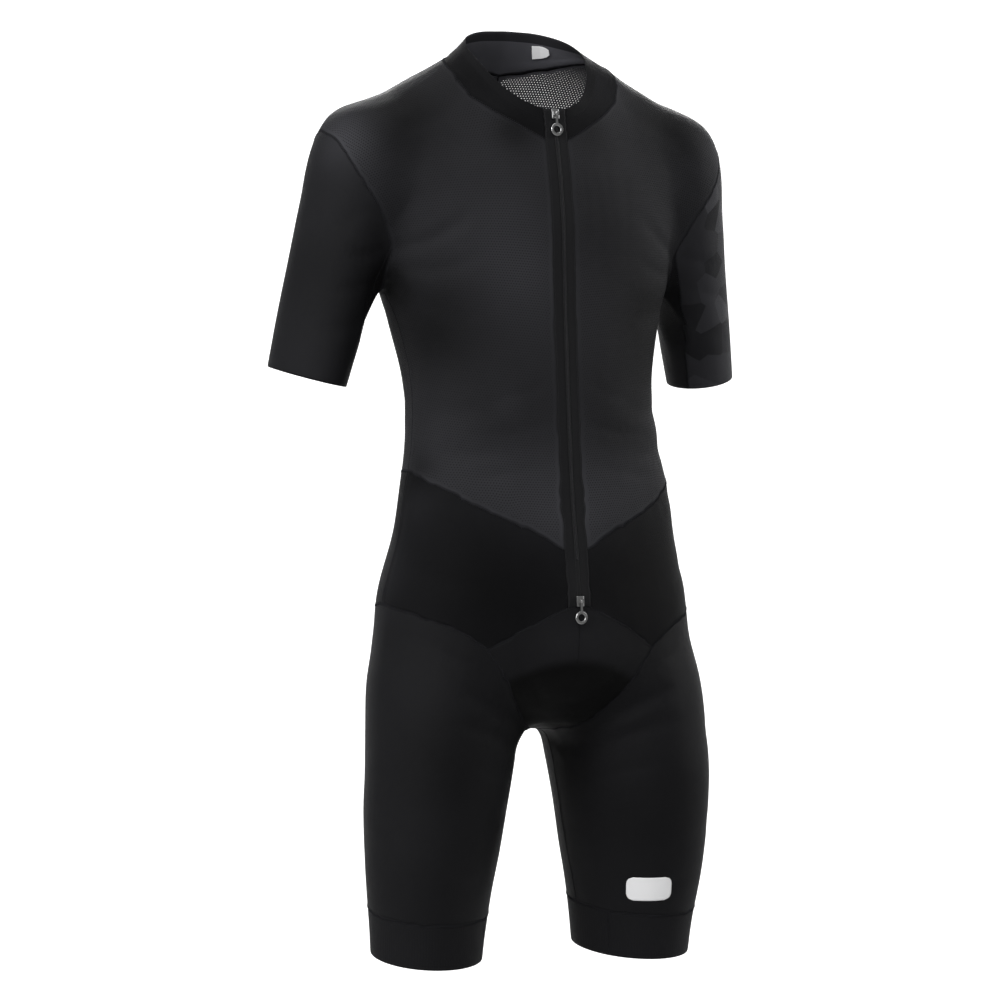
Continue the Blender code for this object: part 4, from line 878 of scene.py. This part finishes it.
def build_cloth():
    """All the panels. Returns the smooth surface, its normals, each panel's border and the panels."""
    nets = matched([outer_net(row[0]) for row in PANELS])
    starts = np.cumsum([0] + [len(points) for points, _ in nets])
    everything = np.vstack([points for points, _ in nets])
    place, places = sewn(everything)
    shared_faces = place[np.vstack([faces + start for (_, faces), start in zip(nets, starts)])]
    refinement = Refinement(shared_faces, len(places))
    surface = refinement.through(places)
    normals = normals_of(surface, refinement.faces[-1])
    surface = surface + normals * creased(surface, normals)[:, None]
    normals = normals_of(surface, refinement.faces[-1])
    fine = refinement.faces[-1]
    panels, seams, at = [], [], 0
    for (points, faces), row in zip(nets, PANELS):
        panel = Panel(row[0], points, faces)
        size = len(panel.faces[-1])
        panel.number(fine[at:at + size])
        at += size
        sides, _ = rim_of(panel.faces[-1])
        seams.append(panel.shared[sides])
        panels.append(panel)
    sides = np.vstack(seams)
    openings, _ = rim_of(fine)
    # tone holds the painted light and shade of the spots
    marks = {"seam_off": to_edges(surface, sides), "open_off": to_edges(surface, openings),
             "tone": painted_light_and_shade(surface)}
    for panel, (_, finish, slot, thick) in zip(panels, PANELS):
        add_panel(panel, surface, normals, marks, thick, MATERIALS[finish], slot)
    return surface, normals, {panel.node: side for panel, side in zip(panels, seams)}, panels


# ---------------------------------------------------------------- seams, zip and trims
def chains(sides):
    """Edges joined end to end into lines, each a list of point numbers."""
    beside = {}
    for a, b in sides.tolist():
        beside.setdefault(a, []).append(b)
        beside.setdefault(b, []).append(a)
    ends = [p for p, others in beside.items() if len(others) != 2]
    left = {frozenset(side) for side in sides.tolist()}
    lines = []
    for start in ends + list(beside):
        for first in beside[start]:
            line = [start]
            here, ahead = start, first
            while frozenset((here, ahead)) in left:
                left.discard(frozenset((here, ahead)))
                line.append(ahead)
                onward = [p for p in beside[ahead] if frozenset((ahead, p)) in left]
                if len(beside[ahead]) != 2 or not onward:
                    break
                here, ahead = ahead, onward[0]
            if len(line) > 1:
                lines.append(line)
    return lines


def threads(starts, ends, outs, radius, rise):
    """Short round threads from start to end, arched out in the middle, as one mesh."""
    along = unit(ends - starts)
    outs = unit(outs - (outs * along).sum(1, keepdims=True) * along)
    beside = np.cross(along, outs)
    rings = []
    for share, size in THREAD_RINGS:
        middle = starts + (ends - starts) * share + outs * rise * (1 - (2 * share - 1)**2)
        for turn in range(THREAD_SIDES):
            angle = 2 * math.pi / THREAD_SIDES * turn
            rings.append(middle + (beside * math.cos(angle) + outs * math.sin(angle)) * radius * size)
    points = np.stack([starts] + rings + [ends], 1).reshape(-1, 3)
    one, last = [], 1 + len(rings)
    for turn in range(THREAD_SIDES):
        after = (turn + 1) % THREAD_SIDES
        one += [(0, 1 + after, 1 + turn), (last, last - THREAD_SIDES + turn, last - THREAD_SIDES + after)]
        for ring in range(1, last - THREAD_SIDES, THREAD_SIDES):
            a, b = ring + turn, ring + after
            one += [(a, b, b + THREAD_SIDES), (a, b + THREAD_SIDES, a + THREAD_SIDES)]
    faces = (np.array(one)[None] + (last + 1) * np.arange(len(starts))[:, None, None]).reshape(-1, 3)
    return points, faces


def along_line(surface, normals, line, step):
    """Points, normals and forward ways about one step apart on a line of the surface."""
    points, outs = surface[line], normals[line]
    run = np.concatenate(([0], np.cumsum(np.linalg.norm(np.diff(points, axis=0), axis=1))))
    at = np.linspace(0, run[-1], max(2, int(run[-1] / step)))
    points = np.stack([np.interp(at, run, points[:, k]) for k in range(3)], -1)
    outs = unit(np.stack([np.interp(at, run, outs[:, k]) for k in range(3)], -1))
    return points, outs, unit(np.gradient(points, axis=0))


def flat_seam(surface, normals, line):
    """The crossing threads of a flat seam: a zigzag over both edges."""
    points, outs, ahead = along_line(surface, normals, line, STITCH_STEP / 2)
    across = np.cross(outs, ahead)
    side = np.where(np.arange(len(points)) % 2 == 0, 1.0, -1.0)[:, None]
    corners = points + across * side * STITCH_HALF
    return threads(corners[:-1], corners[1:], outs[:-1], THREAD, THREAD * 1.5)


def seam_backing(surface, normals, line):
    """A narrow strip on the cloth's inner side that closes a seam, as the looper threads do."""
    points, outs, ahead = along_line(surface, normals, line, STITCH_STEP)
    across = np.cross(outs, ahead) * STITCH_HALF
    low = points - outs * BACKING_DEEP
    strip = np.stack((low - across, low + across, low - outs * BACKING_THICK), 1).reshape(-1, 3)
    steps = 3 * np.arange(len(points) - 1)[:, None]
    faces = [np.hstack((steps + a, steps + b, steps + b + 3)) for a, b in ((0, 1), (1, 2), (2, 0))]
    faces += [np.hstack((steps + a, steps + b + 3, steps + a + 3)) for a, b in ((0, 1), (1, 2), (2, 0))]
    last = 3 * len(points) - 3
    return strip, np.vstack((*faces, [(0, 2, 1), (last, last + 1, last + 2)]))


def straight_row(points, outs, ahead):
    """A row of single stitches."""
    starts = points - ahead * NEEDLE_STEP * NEEDLE_FILL / 2
    ends = points + ahead * NEEDLE_STEP * NEEDLE_FILL / 2
    return threads(starts, ends, outs, THREAD, THREAD * 1.4)


def joined(meshes):
    points, faces, shift = [], [], 0
    for mesh_points, mesh_faces in meshes:
        points.append(mesh_points)
        faces.append(mesh_faces + shift)
        shift += len(mesh_points)
    return np.vstack(points), np.vstack(faces)


ZIP_PARTS = {*both("zip_tape"), "zip_coil"}
SEAM_GROUPS = [
    ("stitches_collar", ["collar"]),
    ("stitches_sleeves", both("sleeve_outer", "sleeve_under")),
    ("stitches_bands", both("gripper")),
    ("stitches_legs", both("leg") + ["gusset_front"]),
    ("stitches_body", both("front", "back", "hip_front", "hip_back")),
]


def build_stitches(surface, normals, seams):
    """Flat seams between the panels, and a straight row down each zip tape."""
    owner = {}
    for node, sides in seams.items():
        for a, b in np.sort(sides, 1).tolist():
            owner.setdefault((a, b), []).append(node)
    taken = set()
    for name, nodes in SEAM_GROUPS:
        sides = [side for side, owners in owner.items()
                 if side not in taken and len(owners) == 2 and set(owners) & set(nodes)
                 and not set(owners) & ZIP_PARTS]
        taken |= set(sides)
        lines = [line for line in chains(np.array(sides)) if len(line) > 3]
        meshes = [make(surface, normals, line) for line in lines for make in (flat_seam, seam_backing)]
        add_piece(name, *joined(meshes), MATERIALS["thread"], "thread")
    rows = []
    for side, tape in zip((1, -1), both("zip_tape")):
        sides = [edge for edge, owners in owner.items()
                 if len(owners) == 2 and tape in owners and "zip_coil" not in owners]
        for line in chains(np.array(sides)):
            points, outs, ahead = along_line(surface, normals, line, NEEDLE_STEP)
            rows.append(straight_row(points - (side * TAPE_ROW, 0, 0), outs, ahead))
    add_piece("stitches_zip", *joined(rows), MATERIALS["thread"], "thread")


def laid_on(surface, normals, numbers, points):
    """The given points moved onto the cloth, and the cloth's normals there."""
    tree = tree_of(surface[numbers])
    for _ in range(LAY_ROUNDS):
        near = [[numbers[i] for _, i, _ in tree.find_n(point, LAY_NEAR)] for point in points]
        weights = 1 / (np.linalg.norm(surface[near] - points[:, None], axis=2) + 1e-5)**2
        weights = (weights / weights.sum(1, keepdims=True))[:, :, None]
        outs = unit((normals[near] * weights).sum(1))
        points = points - ((points - (surface[near] * weights).sum(1)) * outs).sum(1, keepdims=True) * outs
    return points, outs


def build_middle_seam(surface, normals, panel):
    """The short seam from the zip's foot down to where the gusset's painted shade begins."""
    numbers = np.unique(panel.shared)
    by_middle = np.abs(surface[numbers, 0]) < SEAM_NEAR
    near = numbers[by_middle & (surface[numbers, 2] > GUSSET_SHADE_TOP - SEAM_NEAR)]
    near = near[np.argsort(surface[near, 2])]
    levels = np.arange(GUSSET_SHADE_TOP, surface[near[-1], 2] - SEAM_NEAR, NEEDLE_STEP)
    ahead = np.interp(levels, surface[near, 2], surface[near, 1])
    points, outs = laid_on(surface, normals, numbers, np.stack((0 * levels, ahead, levels), -1))
    row = straight_row(points, outs, unit(np.gradient(points, axis=0)))
    add_piece("stitches_gusset", *row, MATERIALS["dark_thread"], "thread")


def build_teeth(surface, normals, panel):
    """The closed coil: teeth from both tapes that lock over the middle."""
    numbers = panel.shared
    middle = numbers[np.abs(surface[numbers, 0]) < ON_MIDDLE]
    middle = middle[np.argsort(surface[middle, 2])]
    points, outs, ahead = along_line(surface, normals, middle, TOOTH_STEP)
    left = np.array((1.0, 0.0, 0.0))
    meshes = []
    for side, shift in ((1, -0.25), (-1, 0.25)):
        at = points + ahead * TOOTH_STEP * shift
        starts = at + left * side * TOOTH_HALF + outs * COIL_RISE * 0.2
        ends = at - left * side * TOOTH_HALF * TOOTH_LAP + outs * COIL_RISE
        meshes.append(threads(starts, ends, outs, TOOTH_THICK, COIL_RISE * 0.8))
    add_piece("zip_teeth", *joined(meshes), MATERIALS["coil"], "coil_plastic")


PATCH_MIDDLE = (0.101, -0.078, -0.824)      # of the printed patch on the left thigh
PATCH_SIZE = (0.050, 0.025)
PATCH_ROUND = 0.008
PATCH_TOP, PATCH_FOOT = 0.00032, 0.00005    # of the print's film, above the cloth
PATCH_STEPS = (27, 16)


def build_patch(surface, normals, panel):
    """A plain rounded print on the left thigh, laid on the cloth."""
    numbers = np.unique(panel.shared)
    tree = tree_of(surface[numbers])
    middle = numbers[tree.find(PATCH_MIDDLE)[1]]
    out = normals[middle]
    up = unit(np.array((0.0, 0.0, 1.0)) - out * out[2])
    across = np.cross(up, out)
    width, height = PATCH_SIZE
    columns, rows = PATCH_STEPS
    grid = []
    for v in np.linspace(-1, 1, rows):
        y = v * height / 2
        over = max(0.0, abs(y) - (height / 2 - PATCH_ROUND))
        half = width / 2 - PATCH_ROUND + math.sqrt(max(PATCH_ROUND**2 - over**2, 0.0))
        grid += [surface[middle] + up * y + across * x for x in np.linspace(-half, half, columns)]
    grid, ways = laid_on(surface, normals, numbers, np.array(grid))
    top, low = grid + ways * PATCH_TOP, grid + ways * PATCH_FOOT
    cells = [(j * columns + i, j * columns + i + 1, (j + 1) * columns + i + 1, (j + 1) * columns + i)
             for j in range(rows - 1) for i in range(columns - 1)]
    shift = len(grid)
    border = ([(i, i + 1) for i in range(columns - 1)]
              + [(j * columns + columns - 1, (j + 1) * columns + columns - 1) for j in range(rows - 1)]
              + [((rows - 1) * columns + i + 1, (rows - 1) * columns + i) for i in range(columns - 1)]
              + [((j + 1) * columns, j * columns) for j in range(rows - 1)])
    faces = cells + [tuple(p + shift for p in cell[::-1]) for cell in cells]
    faces += [(b, a, a + shift, b + shift) for a, b in border]
    add_piece("leg_print", np.vstack((top, low)), faces, MATERIALS["print"], "print_film")


def dress_solids():
    """Finishes for the solids that stay as they are."""
    for node in ("slider_upper", "slider_lower", "pull_upper", "pull_lower", "neck_tag"):
        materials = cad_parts[node].data.materials
        materials.clear()
        materials.append(MATERIALS["tag" if node == "neck_tag" else "metal"])


# ---------------------------------------------------------------- stage, light and camera
WALL = (6.3, 4.0, -2.4, 2.6)         # of the backdrop: distance, half width, foot and top
FLOOR = (7.0, -1.85)                 # half width and height of the floor
SKY = 0.22                           # light from all round


def flat_stage(name, corners, finish):
    mesh = bpy.data.meshes.new(name)
    mesh.from_pydata(corners, [], [(0, 1, 2, 3)])
    mesh.materials.append(finish.material)
    thing = bpy.data.objects.new(name, mesh)
    bpy.context.scene.collection.objects.link(thing)


def add_stage():
    """A plain pale floor well below the suit, and a white lit wall far behind it."""
    paint = Finish("floor_paint", Specular_IOR_Level=0.1)
    paint.shade(Base_Color=grey(0.50, 0.0), Roughness=0.9)
    half, level = FLOOR
    flat_stage("floor", [(-half, -half, level), (half, -half, level), (half, half, level),
                         (-half, half, level)], paint)
    cloth = Finish("backdrop_cloth", Specular_IOR_Level=0.1, Emission_Strength=0.9)
    cloth.shade(Base_Color=grey(0.8, 0.0), Roughness=0.9, Emission_Color=(1.0, 1.0, 1.0, 1.0))
    right, ahead = camera_ways()
    far, half, foot, top = WALL
    flat_stage("backdrop", [ahead * far + right * x + Vector((0.0, 0.0, z))
                            for x, z in ((-half, foot), (half, foot), (half, top), (-half, top))], cloth)
    world = bpy.data.worlds.new("sky")
    world.use_nodes = True
    world.node_tree.nodes["Background"].inputs["Color"].default_value = (1.0, 1.0, 1.0, 1.0)
    world.node_tree.nodes["Background"].inputs["Strength"].default_value = SKY
    bpy.context.scene.world = world
    bpy.context.scene.view_settings.view_transform = "Standard"


LIGHTS = [
    # name, place, width, watts
    ("key", (-3.2, -1.0, 1.2), 2.4, 140.0),
    ("side", (3.2, -0.3, 0.9), 2.2, 80.0),
    ("front", (-1.2, -3.2, 2.9), 2.4, 100.0),
    ("top", (0.1, 0.2, 2.6), 2.0, 35.0),
    ("back", (1.6, 3.4, 1.4), 2.4, 210.0),
]
LIGHTS_AIM = Vector((0.0, 0.0, -0.35))


def add_lights():
    for name, place, width, watts in LIGHTS:
        light = bpy.data.lights.new(name, "AREA")
        light.size = width
        light.energy = watts
        lamp = bpy.data.objects.new(name, light)
        lamp.location = place
        lamp.rotation_euler = (LIGHTS_AIM - Vector(place)).to_track_quat("-Z", "Y").to_euler()
        bpy.context.scene.collection.objects.link(lamp)


CAMERA_TURN = 24.0          # degrees that the camera stands round to the wearer's right
CAMERA_FAR = 4.4
CAMERA_LEVEL = -0.36
CAMERA_ASIDE = -0.0296
CAMERA_LENS, CAMERA_SENSOR = 152.3, 36.0
CAMERA_SHIFT = -0.059


def camera_ways():
    """The level ways to the camera's right and straight ahead."""
    turn = math.radians(CAMERA_TURN)
    return Vector((math.cos(turn), -math.sin(turn), 0.0)), Vector((math.sin(turn), math.cos(turn), 0.0))


def add_camera():
    right, ahead = camera_ways()
    data = bpy.data.cameras.new("camera")
    data.lens = CAMERA_LENS
    data.sensor_width = CAMERA_SENSOR
    data.shift_y = CAMERA_SHIFT
    camera = bpy.data.objects.new("camera", data)
    camera.location = right * CAMERA_ASIDE - ahead * CAMERA_FAR + Vector((0.0, 0.0, CAMERA_LEVEL))
    camera.rotation_euler = ahead.to_track_quat("-Z", "Y").to_euler()
    bpy.context.scene.collection.objects.link(camera)
    bpy.context.scene.camera = camera


add_camera()
surface, normals, seams, panels = build_cloth()
build_stitches(surface, normals, seams)
by_node = {panel.node: panel for panel in panels}
build_middle_seam(surface, normals, by_node["gusset_front"])
build_teeth(surface, normals, by_node["zip_coil"])
build_patch(surface, normals, by_node["leg_left"])
dress_solids()
add_stage()
add_lights()
